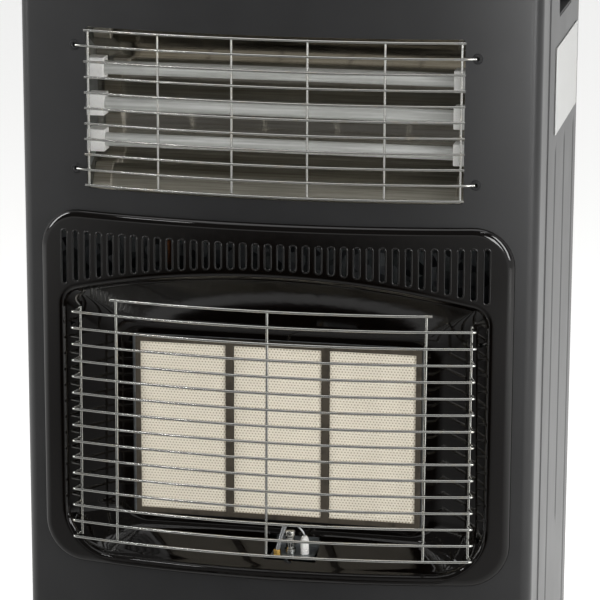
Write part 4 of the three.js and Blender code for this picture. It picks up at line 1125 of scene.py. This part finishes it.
@dataclass
class Burner:
    """The gas burner: enamelled bezel, guard, plaques and the pilot group."""

    bench: Bench
    plan: Plan = field(default_factory=Plan)
    rim: Frame = Frame(193.0, 17.5, -279.0, 33.0, 33.0)
    mouth: Frame = Frame(174.3, -25.3, -271.3, 16.0, 41.0, 8.15e-4)
    floor: Frame = Frame(130.0, -80.0, -250.0, 20.0, 20.0)
    cutout: Frame = Frame(121.2, -87.6, -240.6, 2.0, 2.0)
    proud: float = 4.7
    sheet: float = 1.2
    rim_roll: float = 6.0
    lip: float = 4.0
    lip_turn: float = 68.0
    slot_count: int = 35
    slot_pitch: float = 10.1
    slot_width: float = 3.8
    slot_top: float = 0.5
    slot_foot: float = -19.2
    bead: float = 0.85
    bead_out: float = 0.7
    bead_back: float = 0.45
    rod: float = 1.15
    rod_pitch: float = 13.54
    rod_top: float = -65.2
    rod_count: int = 15
    guard_half: float = 164.6
    guard_bow: float = 17.9
    guard_lean: float = 3.2
    stand_off: float = 9.4
    end_return: Flat = (-4.4, 12.0)
    prong: Flat = (3.4, 26.0)
    upright_x: float = 126.2
    pilot_base: float = 227.5
    pilot: Flat = (13.4, -17.0)
    probe: Flat = (4.0, -24.2)
    electrode: Flat = (25.4, -17.0)
    main_x: float = -100.0
    feed_x: float = -83.0
    valve_y: float = 180.7

    @property
    def floor_y(self) -> float:
        """The y of the dish's flat floor."""
        return self.plan.bow_y(0) + 36.7

    @property
    def guard_y(self) -> float:
        """The y of the guard's ends."""
        return self.plan.bow_y(self.guard_half) - self.stand_off

    def build(self) -> None:
        """Builds every piece of the burner."""
        self.bezel()
        self.guard()
        for number in (1, 2, 3):
            self.bench.fit(f"ceramic_plaque_{number}", 0.5, "plaque_ceramic")
        for node, width, finish in (
            ("plaque_retainer", 0.3, "clamp_steel"),
            ("plenum_box", 0.4, "galvanised_steel"),
            ("gas_manifold", 0.0, "galvanised_steel"),
            ("pilot_bracket", 0.3, "galvanised_steel"),
            ("gas_valve", 0.6, "galvanised_steel"),
        ):
            self.bench.fit(node, width, finish)
        self.pilot_group()
        self.gas_way()

    def ring(self, frame: Frame, depth: Callable[[float], float]) -> list[Point]:
        """An outline set at a depth that may follow the bow.

        Args:
            frame: The outline.
            depth: Gives the y for an x.

        Returns:
            Points in cabinet millimetres.
        """
        return [(x, depth(x), self.plan.slot_line + z) for x, z in frame.points()]

    def face(self, back: float) -> Callable[[float], float]:
        """The bezel's bowed face, set back by a distance."""
        return lambda x: self.plan.bow_y(x) - self.proud + back

    def flat(self, y: float) -> Callable[[float], float]:
        """A flat depth, the same for every x."""
        return lambda x: y

    def bezel(self) -> None:
        """The enamelled pressing: rolled rim, slotted brow, rolled mouth, dish and floor cut-out."""
        rings = [self.ring(self.rim, self.face(self.proud - CLEARANCE))]
        for angle in spread(0, math.pi / 2, 8):
            inset, back = self.rim_roll * (1 - math.cos(angle)), (self.proud - 0.8) * (1 - math.sin(angle))
            rings.append(self.ring(self.rim.grown(-inset), self.face(back)))
        rings.append(self.ring(self.mouth.grown(self.lip * 0.7 + 1.5), self.face(0)))
        for angle in spread(0, math.radians(self.lip_turn), 6):
            out, back = self.lip * (0.7 - 1.45 * math.sin(angle)), self.lip * 1.9 * (1 - math.cos(angle))
            rings.append(self.ring(self.mouth.grown(out), self.face(back)))
        edge, lip_back = self.mouth.grown(-self.lip * 0.7), self.face(back)
        for share in (0.05, 0.14, 0.28, 0.42, 0.56, 0.7, 0.84, 0.95):
            rings.append(self.blend(edge, self.floor, lip_back, share))
        rings.append(self.ring(self.floor.grown(-1.2), self.flat(self.floor_y - 0.4)))
        rings.append(self.ring(self.floor.grown(-3.5), self.flat(self.floor_y)))
        rings.append(self.ring(self.cutout, self.flat(self.floor_y)))
        bezel = self.bench.draw("bezel_pressing", rings, caps=False)
        self.bench.face_towards(bezel, Vector((0.0, -1.0, 0.0)))
        self.bench.modify(bezel, "SOLIDIFY", thickness=self.sheet * MM, offset=-1.0)
        self.bench.close_up(bezel)
        self.bench.cut(bezel, *self.slots(), *self.dish_holes())
        bezel = self.bench.join("bezel_pressing", [bezel, self.slot_rims()])
        self.bench.soften(bezel, 0.3, angle=55, segments=2)
        self.bench.seat(bezel, "black_enamel", "burner_bezel")
        self.bushes()

    def blend(
        self, outer: Frame, inner: Frame, depth: Callable[[float], float], share: float
    ) -> list[Point]:
        """An outline part of the way down the dish's wall.

        Args:
            outer: The outline at the mouth.
            inner: The outline at the floor.
            depth: The mouth's depth.
            share: 0 at the mouth, 1 at the floor.

        Returns:
            Points in cabinet millimetres.
        """
        start, end = self.ring(outer, depth), self.ring(inner, self.flat(self.floor_y))
        return [tuple(a + (b - a) * share for a, b in zip(p, q)) for p, q in zip(start, end)]

    def slot_outlines(self, radius: float) -> list[tuple[float, list[Flat]]]:
        """The row of round-ended slots, whose lower ends follow the mouth's arch.

        Args:
            radius: Half of a slot's width.

        Returns:
            Each slot's middle and its outline.
        """
        found = []
        for i in range(self.slot_count):
            x = (i - (self.slot_count - 1) / 2) * self.slot_pitch
            high = self.plan.slot_line + self.slot_top - self.slot_width / 2
            low = self.plan.slot_line + self.slot_foot - self.mouth.fall * x * x + self.slot_width / 2
            found.append((x, [*arc((x, high), radius, 0, 180, 10), *arc((x, low), radius, 180, 360, 10)]))
        return found

    def slots(self) -> list[bpy.types.Object]:
        """Cutters for the slots."""
        cutters = []
        for x, outline in self.slot_outlines(self.slot_width / 2):
            y = self.plan.bow_y(x) - self.proud
            cutters.append(self.bench.prism("slot_cutter", outline, "y", y - 3, y + 3))
        return cutters

    def slot_rims(self) -> bpy.types.Object:
        """The rolled edge round each slot, which stands a little proud of the brow."""
        beads = []
        depth = self.face(self.bead_back)
        for _, outline in self.slot_outlines(self.slot_width / 2 + self.bead_out):
            beads.append([(x, depth(x), z) for x, z in [*outline, outline[0], outline[1]]])
        return self.bench.wires("slot_rims", beads, self.bead)

    def rod_z(self, row: int) -> float:
        """The height of one of the guard's rods, counted from the top."""
        return self.plan.slot_line + self.rod_top - row * self.rod_pitch

    def bush_places(self) -> list[Point]:
        """Where the guard's prongs go into the dish's side walls."""
        x, y = self.guard_half + 2.4, self.guard_y + 16
        rows = [self.rod_z(row) for row in (1, self.rod_count - 2)]
        return [(side.value * x, y, z) for side in Side for z in rows]

    def dish_holes(self) -> list[bpy.types.Object]:
        """Cutters for the pilot group's opening and for the guard's four holes."""
        line = self.plan.slot_line
        outline = rounded_box(-6, 37, line - 267, line - 246, 2.5)
        near, far = self.plan.bow_y(0) + 8, self.floor_y - 1.5
        cutters = [self.bench.prism("pilot_cutter", outline, "y", near, far)]
        for x, y, z in self.bush_places():
            profile = [(1.9, -9.0), (1.9, 9.0)]
            cutters.append(self.bench.turned("guard_hole_cutter", profile, "y", (x, y, z), segments=24))
        return cutters

    def bushes(self) -> None:
        """Black bushes in the guard's holes."""
        rings = []
        for x, y, z in self.bush_places():
            profile = [(1.5, -0.8), (2.0, -1.5), (2.6, -1.2), (2.8, 0.2), (2.8, 1.0), (1.5, 1.0)]
            rings.append(self.bench.turned("bush", profile, "y", (x, y, z), segments=24, loop=True))
        bushes = self.bench.join("dish_bushes", rings)
        self.bench.soften(bushes)
        self.bench.seat(bushes, "black_plastic")

    def bow(self, x: float, y: float) -> float:
        """The guard's bow at x, for ends at y."""
        return y - self.guard_bow * (1 - (x / self.guard_half) ** 2)

    def guard(self) -> None:
        """The bright wire guard: bowed rods, uprights behind them and returns at both ends."""
        runs = []
        half, last = self.guard_half, self.rod_count - 1
        for row in range(self.rod_count):
            y, z = self.guard_y - self.guard_lean * row / last, self.rod_z(row)
            out, back = self.prong if row in (1, last - 1) else self.end_return
            start = [(-half - out, y + back, z), (-half - 0.15 * out, y + 3.6, z), (-half, y, z)]
            front = [(x, self.bow(x, y), z) for x in spread(-half + 4, half - 4, 22)]
            end = [(half, y, z), (half + 0.15 * out, y + 3.6, z), (half + out, y + back, z)]
            runs.append([*start, *front, *end])
        high, low = self.rod_z(0) + 12.8, self.rod_z(last) - self.rod
        runs.append([(x, self.bow(x, self.guard_y), high) for x in spread(-131, 131, 20)])
        for x in (-self.upright_x, 0.0, self.upright_x):
            y = self.bow(x, self.guard_y) + 2 * self.rod - 0.25
            runs.append([(x, y, high + self.rod), (x, y - self.guard_lean, low)])
        for side in Side:
            x, y = side.value * (half + self.end_return[0]), self.guard_y + 11.0
            runs.append([(x, y, self.rod_z(0) + 2), (x, y - self.guard_lean, low)])
        guard = self.bench.wires("burner_guard_wires", runs, self.rod)
        self.bench.soften(guard)
        self.bench.seat(guard, "chrome_wire", "burner_guard")

    def pilot_group(self) -> None:
        """The pilot burner's ported hood, the thermocouple and the spark electrode on their bracket."""
        base = self.pilot_base
        profile = [(4.8, 0), (4.8, 4), (3.6, 4.4), (3.6, 13.6), (4.3, 14.6), (4.4, 15.6), (4.4, 18.6)]
        profile += [(3.9, 19.4), (2.6, 20)]
        hood = self.bench.turned("pilot_hood", profile, "z", (*self.pilot, base), segments=32)
        ports = [
            self.bench.prism("port", rounded_box(x - 0.6, x + 0.6, base + 6, base + 11, 0.5), "y", -24, -10)
            for x in (self.pilot[0] - 1.8, self.pilot[0], self.pilot[0] + 1.8)
        ]
        self.bench.cut(hood, *ports)
        self.bench.soften(hood)
        self.bench.seat(hood, "chrome_wire", "pilot_burner")

        x, y = self.probe
        stem = [(x, y, base + 0.3), (x, y, base + 6.5), (x + 6.6, y, base + 26.2)]
        probe = self.bench.wires("probe_stem", [stem], 1.9, sides=5)
        self.bench.soften(probe)
        self.bench.seat(probe, "zinc_screw", "thermocouple", slot="brass")
        nut = self.bench.turned("probe_nut", [(3.3, 0.1), (3.3, 4.9)], "z", (x, y, base), segments=6)
        self.bench.soften(nut, 0.4)
        self.bench.seat(nut, "brass")

        x, y = self.electrode
        profile = [(3.5, 0), (3.5, 3.2), (2.9, 3.8), (3.5, 4.4), (3.5, 11.8), (2.9, 13.6), (2.1, 15.0)]
        sleeve = self.bench.turned("electrode_sleeve", profile, "z", (x, y, base), segments=32)
        self.bench.soften(sleeve)
        self.bench.seat(sleeve, "white_ceramic", "igniter_electrode")
        wire = [(x, y, base + 14), (x, y, base + 18.4), (x - 5.8, y, base + 23)]
        spark = self.bench.wires("spark_wire", [wire], 0.8)
        self.bench.soften(spark)
        self.bench.seat(spark, "zinc_screw", slot="white_ceramic")

    def gas_way(self) -> None:
        """The copper pipes behind the burner and the ridged brass nozzle that takes the hose."""
        drop = self.plan.bow_y(0) + (66.7 + 77.7) / 2  # halfway between the burner box and the heat shield
        x, y = self.main_x, self.valve_y
        main = [(x, y, 682), (x, drop + 6, 682), (x, drop, 682), (x, drop, 676)]
        main += [(x, drop, 206), (x, drop, 200), (x, drop - 5, 200), (x, 22.5, 200)]
        pipe = self.bench.wires("main_gas_pipe", [main], 3.9, sides=5)
        self.bench.soften(pipe)
        self.bench.seat(pipe, "copper", "gas_pipe")
        x, (end_x, end_y) = self.feed_x, self.pilot
        thin = [(x, y, 672), (x, drop + 6, 672), (x, drop, 672), (x, drop, 666), (x, drop, 191)]
        thin += [(x, drop, 185), (x + 6, drop, 185), (end_x - 6, drop, 185), (end_x, drop, 185)]
        thin += [(end_x, drop - 6, 185), (end_x, end_y + 6, 185), (end_x, end_y, 185)]
        thin += [(end_x, end_y, 191), (end_x, end_y, self.pilot_base - 1.9)]
        feed = self.bench.wires("pilot_feed_pipe", [thin], 1.9, sides=4)
        self.bench.soften(feed)
        self.bench.seat(feed, "copper", "pilot_pipe")
        low, step = 629.7, 6.5
        profile = [(4.2, low), (4.5, low + 0.6)]
        for z in spread(low + step, low + 4 * step, 3):
            profile += [(5.9, z - 1.6), (5.9, z - 1.0), (4.5, z)]
        profile += [(4.5, low + 26.4), (8.4, low + 26.6), (8.8, low + 27.2), (8.8, low + 33.4)]
        profile += [(8.4, low + 33.9), (2.0, low + 33.9), (2.0, low)]
        nozzle = self.bench.turned("hose_tail", profile, "z", (self.main_x, 207, 0), segments=40, loop=True)
        self.bench.soften(nozzle)
        self.bench.seat(nozzle, "brass", "hose_nozzle")


# ---- Electric elements ----------------------------------------------------------------------------


@dataclass
class Elements:
    """The three quartz elements in their trough, behind the upper guard."""

    bench: Bench
    plan: Plan = field(default_factory=Plan)
    rod: float = 1.0
    half: float = 152.7
    bow: float = 15.1
    top: float = 163.8
    pitch: float = 12.49
    count: int = 11
    uprights: tuple[float, ...] = (-149.6, -90.8, -30.3, 30.3, 90.8, 149.6)
    prong_x: float = 161.2
    tube_top: float = 130.6
    tube_pitch: float = 29.25
    tube_back: float = 37.3
    tube_half: float = 149.0

    @property
    def ends_y(self) -> float:
        """The y of the guard's ends."""
        return self.plan.bow_y(self.half) - 2.4

    def build(self) -> None:
        """Builds the guard, the trough, the tubes and their end blocks."""
        self.guard()
        for node, finish in (
            ("reflector", "bright_reflector"),
            ("element_plate_left", "galvanised_steel"),
            ("element_plate_right", "galvanised_steel"),
        ):
            self.bench.fit(node, 0.0, finish)
        for row in (1, 2, 3):
            self.tube(row)
            for side in Side:
                self.bench.fit(f"ceramic_cap_{side.name.lower()}_{row}", 0.7, "white_ceramic")

    def bowed(self, x: float) -> float:
        """The y of the guard's rods at x."""
        return self.ends_y - self.bow * (1 - (x / self.half) ** 2)

    def guard(self) -> None:
        """The upper guard, whose second and tenth rods end in prongs that hook into the front panel."""
        runs = []
        for row in range(self.count):
            z = self.plan.slot_line + self.top - row * self.pitch
            front = [(x, self.bowed(x), z) for x in spread(-self.half, self.half, 22)]
            if row in (1, self.count - 2):
                x, y = self.prong_x, self.ends_y
                tip = [(x, y + 12, z), (x, y + 5.5, z), (x - 0.6, y + 3.2, z), (x - 2.6, y + 2.4, z)]
                front = [(-a, b, c) for a, b, c in tip] + front + list(reversed(tip))
            runs.append(front)
        high = self.plan.slot_line + self.top + self.rod
        low = high - (self.count - 1) * self.pitch - 2 * self.rod
        for x in self.uprights:
            y = self.bowed(x) + 2 * self.rod - 0.2
            runs.append([(x, y, high), (x, y, low)])
        guard = self.bench.wires("upper_guard_wires", runs, self.rod)
        self.bench.soften(guard)
        self.bench.seat(guard, "chrome_wire", "upper_guard")

    def tube(self, row: int) -> None:
        """One quartz tube with fire-rounded ends.

        Args:
            row: 1 for the top tube.
        """
        z = self.plan.slot_line + self.tube_top - (row - 1) * self.tube_pitch
        y, end = self.plan.bow_y(0) + self.tube_back, self.tube_half
        half = [(4.6, 0.0), (5.2, 0.5), (5.5, 1.2), (5.5, 60.0), (5.5, end)]
        profile = [(r, d - end) for r, d in half] + [(r, end - d) for r, d in reversed(half[:-1])]
        tube = self.bench.turned(f"quartz_tube_{row}_glass", profile, "x", (0.0, y, z), segments=48)
        self.bench.soften(tube)
        self.bench.seat(tube, "frosted_quartz", f"quartz_tube_{row}")


# ---- Controls -------------------------------------------------------------------------------------


@dataclass
class Controls:
    """The console on the lid, with the gas knob, the igniter and two rocker switches."""

    bench: Bench
    middle_y: float = 201.0
    knob_x: float = -100.0
    piezo_x: float = -28.0
    rocker_x: tuple[float, float] = (52.0, 100.0)
    deck: float = 719.8
    knob_bottom: float = 724.3

    def build(self) -> None:
        """Builds every control."""
        self.console()
        self.knob()
        self.igniter()
        for number in (1, 2):
            self.bench.fit(f"rocker_housing_{number}", 0.5, "black_plastic", segments=3)
            self.bench.fit(f"rocker_switch_{number}", 0.7, "gloss_black_plastic", f"rocker_{number}", 3)
        self.bench.fit("valve_spindle", 0.3, "brass", "valve_spindle")
        for node, width in (("tip_over_switch", 0.8), ("cord_gland", 0.6)):
            self.bench.fit(node, width, "black_plastic")

    def console(self) -> None:
        """The moulded console, with raised marks round the knob in white."""
        self.bench.fit("control_console", 1.1, "black_plastic", segments=3)
        dots = []
        for angle in (0, 70, 140, 210):
            a = math.radians(angle - 90)
            x, y = self.knob_x + 28 * math.cos(a), self.middle_y + 28 * math.sin(a)
            size = 1.0 + 0.35 * (angle / 70)
            profile = [(size, 0.0), (size, 0.25), (size * 0.7, 0.4)]
            dots.append(self.bench.turned("dial_dot", profile, "z", (x, y, self.deck - 0.05), segments=20))
        marks = self.bench.join("dial_dots", dots)
        self.bench.soften(marks)
        self.bench.seat(marks, "marking_ink", slot="black_plastic")

    def knob(self) -> None:
        """The gas knob: a fluted skirt under a tapered grip bar, with a white pointer."""
        low = self.knob_bottom
        axis = (self.knob_x, self.middle_y, 0.0)
        profile = [(21.4, low), (22.0, low + 0.6), (22.0, low + 3.6), (21.2, low + 5.0), (19.0, low + 7.6)]
        profile += [(18.2, low + 10.2), (17.2, low + 11.0)]
        skirt = self.bench.turned("knob_skirt", profile, "z", axis, segments=72)
        flutes = []
        for i in range(24):
            a = 2 * math.pi * (i + 0.5) / 24
            centre = (self.knob_x + 22.9 * math.cos(a), self.middle_y + 22.9 * math.sin(a), 0.0)
            flute = [(1.7, low - 1), (1.7, low + 4.4)]
            flutes.append(self.bench.turned("flute", flute, "z", centre, segments=12))
        self.bench.cut(skirt, *flutes)
        rings = []
        for grow, up in ((0.5, 6), (0.5, 9), (0.0, 12), (-0.5, 16.0), (-1.0, 16.7), (-1.9, 17.0)):
            outline = rounded_box(-5 - grow, 5 + grow, -17.6 - grow, 17.6 + grow, 4.0 + min(grow, 0.0))
            rings.append([(self.knob_x + x, self.middle_y + y, low + up) for x, y in outline])
        grip = self.bench.draw("knob_grip", rings)
        self.bench.modify(skirt, "BOOLEAN", operation="UNION", object=grip, solver="EXACT")
        bpy.data.objects.remove(grip)
        bore = self.bench.turned("bore", [(4.3, low - 1), (4.3, 737.4)], "z", axis, segments=32)
        self.bench.cut(skirt, bore)
        skirt.name = "gas_knob_moulding"
        self.bench.soften(skirt, 0.35, angle=45)
        self.bench.seat(skirt, "black_plastic", "gas_knob", body="gas_knob")
        x, y = self.knob_x, self.middle_y
        outline = rounded_box(x - 0.8, x + 0.8, y - 16.2, y - 7.0, 0.7)
        pointer = self.bench.prism("knob_pointer", outline, "z", low + 16.6, low + 16.98)
        self.bench.soften(pointer, 0.1)
        self.bench.seat(pointer, "marking_ink", body="gas_knob", slot="black_plastic")

    def igniter(self) -> None:
        """The igniter's collar and its red push button."""
        deck, axis = self.deck + CLEARANCE, (self.piezo_x, self.middle_y, 0.0)
        profile = [(6.4, deck - 12.0), (6.4, deck + 1.0), (6.9, deck + 1.5), (11.4, deck + 1.5)]
        profile += [(12.0, deck + 0.9), (12.0, deck), (9.0, deck), (9.0, 676.0), (6.4, 676.0)]
        collar = self.bench.turned("igniter_collar", profile, "z", axis, segments=56, loop=True)
        self.bench.soften(collar)
        self.bench.seat(collar, "gloss_black_plastic", "piezo_igniter", slot="black_plastic")
        low, high = 714.1, 728.6
        profile = [(6.0, low), (6.0, high - 1.6), (5.6, high - 0.7), (4.8, high - 0.15), (3.6, high)]
        profile += [(2.4, high - 0.3), (1.0, high - 0.5)]
        button = self.bench.turned("igniter_button", profile, "z", axis, segments=48)
        self.bench.soften(button)
        self.bench.seat(button, "red_plastic", "piezo_button", body="piezo_button")


# ---- Casters --------------------------------------------------------------------------------------


@dataclass
class Casters:
    """Four swivel casters: pressed forks and rubber-tyred wheels."""

    bench: Bench
    half_track: float = 170.0
    rows: tuple[tuple[str, float], ...] = (("front", 25.035), ("rear", 235.0))
    trail: float = 16.0
    radius: float = 20.0
    width: float = 18.0

    def build(self) -> None:
        """Builds the four casters."""
        for row, y in self.rows:
            for side in Side:
                corner = f"{row}_{side.name.lower()}"
                self.bench.fit("caster_fork_" + corner, 0.5, "galvanised_steel", "caster_" + corner)
                self.wheel(corner, (side.value * self.half_track, y + self.trail, self.radius))

    def wheel(self, corner: str, centre: Point) -> None:
        """One wheel: a crowned tread, a shoulder, a dished web and a hub.

        Args:
            corner: Which corner of the cabinet.
            centre: The middle of the wheel.
        """
        w, r = self.width / 2, self.radius
        half = [(3.3, w), (6.6, w), (7.0, w - 0.6), (7.4, w - 2.6), (13.6, w - 2.6), (14.4, w - 0.8)]
        half += [(15.2, w - 0.3), (17.6, w - 0.3), (19.2, w - 1.6), (r - 0.05, w - 3.4), (r, w - 6.0)]
        profile = [(a, -b) for a, b in half] + [(a, b) for a, b in reversed(half)]
        wheel = self.bench.turned("caster_tyre_" + corner, profile, "x", centre, segments=64, loop=True)
        self.bench.soften(wheel)
        self.bench.seat(wheel, "caster_tread", "caster_wheel_" + corner, body="wheel_" + corner)


# ---- Studio ---------------------------------------------------------------------------------------


@dataclass
class Studio:
    """The pale floor, the soft lamps and the camera."""

    bench: Bench
    lens: float = 186.02
    yaw: float = 11.12
    pitch: float = 14.11
    roll: float = 0.20
    distance: float = 2496.8
    aim: Point = (17.46, 0.0, 436.3)
    dark_floor: Point = (-0.3, -1.6, 0.0)
    dark_reach: Flat = (0.6, 2.1)
    front_sky: float = 0.13
    soft_sky: float = 0.6

    def build(self) -> None:
        """Sets up the whole studio."""
        self.camera()
        self.floor()
        self.world()
        self.lamp("right_softbox", (1.9, -1.3, 1.05), (0.0, -0.1, 0.5), (0.45, 1.5), 26.0)
        self.lamp("left_softbox", (-2.1, -0.9, 1.2), (0.0, -0.1, 0.5), (0.35, 1.4), 20.0)
        self.lamp("overhead", (0.1, -0.4, 2.2), (0.0, -0.1, 0.5), (2.2, 1.6), 18.0)
        self.lamp("front_right", (1.15, -1.75, 0.62), (0.2, -0.14, 0.62), (0.35, 0.5), 7.0)
        self.lamp("rim_left", (-0.95, -1.45, 1.75), (0.0, -0.15, 0.5), (0.4, 0.05), 2.4)
        self.lamp("rim_right", (1.05, -1.3, 1.75), (0.0, -0.15, 0.5), (0.3, 0.05), 1.2)

    def camera(self) -> None:
        """The camera at the photograph's place, worked out from its yaw, pitch and distance."""
        yaw, pitch, roll = (math.radians(a) for a in (self.yaw, self.pitch, self.roll))
        level = math.cos(pitch)
        ahead = Vector((-math.sin(yaw) * level, math.cos(yaw) * level, -math.sin(pitch)))
        right = Vector((math.cos(yaw), math.sin(yaw), 0.0))
        up = right.cross(ahead)
        across = right * math.cos(roll) + up * math.sin(roll)
        above = up * math.cos(roll) - right * math.sin(roll)
        lens = bpy.data.cameras.new("camera")
        lens.lens, lens.sensor_width = self.lens, 36.0
        lens.clip_start, lens.clip_end = 0.05, 100.0
        camera = bpy.data.objects.new("camera", lens)
        bpy.context.scene.collection.objects.link(camera)
        turn = Matrix((across, above, -ahead)).transposed().to_4x4()
        eye = self.bench.at(self.aim) - ahead * self.distance * MM
        camera.matrix_world = Matrix.Translation(eye) @ turn
        bpy.context.scene.camera = camera

    def floor(self) -> None:
        """A pale floor, white to the camera, that keeps the shadow and mirrors dark in front of the user.

        The dark patch shows only in reflections: it gives the bow its deep middle and brighter edges.
        """
        bpy.ops.object.select_all(action="DESELECT")
        bpy.ops.mesh.primitive_plane_add(size=60)
        floor = bpy.context.object
        floor.name = "floor"
        material = bpy.data.materials.new("pale_floor")
        material.use_nodes = True
        tree = material.node_tree
        tree.nodes.clear()
        path = add_node(tree, "ShaderNodeLightPath")
        place = add_node(tree, "ShaderNodeNewGeometry").outputs["Position"]
        away = add_node(tree, "ShaderNodeVectorMath", {0: place, 1: self.dark_floor}, operation="DISTANCE")
        near, far = self.dark_reach
        limits = {"From Min": near, "From Max": far, "To Min": 1.0, "To Max": 0.0}
        dark = add_node(tree, "ShaderNodeMapRange", {"Value": away.outputs["Value"], **limits})
        mirrored = calc(tree, "MULTIPLY", path.outputs["Is Glossy Ray"], dark.outputs[0])
        seen = calc(tree, "MAXIMUM", path.outputs["Is Camera Ray"], self.shine(tree, path))
        full = calc(tree, "MULTIPLY", seen, 0.5)
        glow = calc(tree, "MULTIPLY", full, calc(tree, "SUBTRACT", 1.0, mirrored))
        pale = add_node(
            tree,
            "ShaderNodeMix",
            {0: mirrored, 6: linear("#f0f0ee"), 7: linear("#101010")},
            data_type="RGBA",
        )
        shader = add_node(
            tree,
            "ShaderNodeBsdfPrincipled",
            {
                "Base Color": pale.outputs[2],
                "Roughness": 0.9,
                "Specular IOR Level": 0.1,
                "Emission Color": linear("#ffffff"),
                "Emission Strength": glow,
            },
        )
        add_node(tree, "ShaderNodeOutputMaterial", {"Surface": shader.outputs[0]})
        floor.data.materials.append(material)

    def shine(self, tree: bpy.types.NodeTree, path: bpy.types.Node) -> bpy.types.NodeSocket:
        """One where a mirror or glass ray looks, nought elsewhere."""
        return calc(tree, "MAXIMUM", path.outputs["Is Glossy Ray"], path.outputs["Is Transmission Ray"])

    def world(self) -> None:
        """A white surround, dimmer on the user's side, where the studio's open front is."""
        world = bpy.data.worlds.new("surround")
        bpy.context.scene.world = world
        world.use_nodes = True
        tree = world.node_tree
        tree.nodes.clear()
        looked = add_node(tree, "ShaderNodeTexCoord").outputs["Generated"]
        way = add_node(tree, "ShaderNodeSeparateXYZ", {"Vector": looked})
        limits = {"From Min": -0.5, "From Max": 0.25, "To Min": self.front_sky, "To Max": 1.0}
        room = add_node(tree, "ShaderNodeMapRange", {"Value": way.outputs["Y"], **limits}).outputs[0]
        soft = calc(tree, "MULTIPLY", room, self.soft_sky)
        path = add_node(tree, "ShaderNodeLightPath")
        mirrored = add_node(tree, "ShaderNodeMix", {0: self.shine(tree, path), 2: soft, 3: room}).outputs[0]
        strength = add_node(tree, "ShaderNodeMix", {0: path.outputs["Is Camera Ray"], 2: mirrored, 3: 1.0})
        sky = add_node(
            tree, "ShaderNodeBackground", {"Color": linear("#ffffff"), "Strength": strength.outputs[0]}
        )
        add_node(tree, "ShaderNodeOutputWorld", {"Surface": sky.outputs[0]})

    def lamp(self, name: str, place: Point, aim: Point, size: Flat, power: float) -> None:
        """Hangs one soft rectangular lamp.

        Args:
            name: The lamp's name.
            place: Where it hangs, in metres.
            aim: What it points at, in metres.
            size: Its width and height, in metres.
            power: Its power, in watts.
        """
        light = bpy.data.lights.new(name, "AREA")
        light.shape = "RECTANGLE"
        light.size, light.size_y = size
        light.energy = power
        lamp = bpy.data.objects.new(name, light)
        bpy.context.scene.collection.objects.link(lamp)
        lamp.visible_camera = False
        lamp.location = place
        lamp.rotation_euler = (Vector(aim) - Vector(place)).to_track_quat("-Z", "Y").to_euler()


def main() -> None:
    """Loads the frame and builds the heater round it."""
    logging.basicConfig(level=logging.INFO, format="%(name)s %(message)s")
    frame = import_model()
    datum_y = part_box("front_panel")[1].y - 0.7 * MM
    bench = Bench(frame["nodes"], datum_y)
    scene = bpy.context.scene
    scene.view_settings.view_transform = "Standard"
    Studio(bench).build()
    for assembly in (Casing(bench), Burner(bench), Elements(bench), Controls(bench), Casters(bench)):
        assembly.build()
        LOG.info("%s built", type(assembly).__name__)
    for name, node in frame["nodes"].items():
        if not node.hide_render:
            LOG.warning("%s keeps its CAD look", name)
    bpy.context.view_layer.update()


if __name__ == "__main__":
    main()
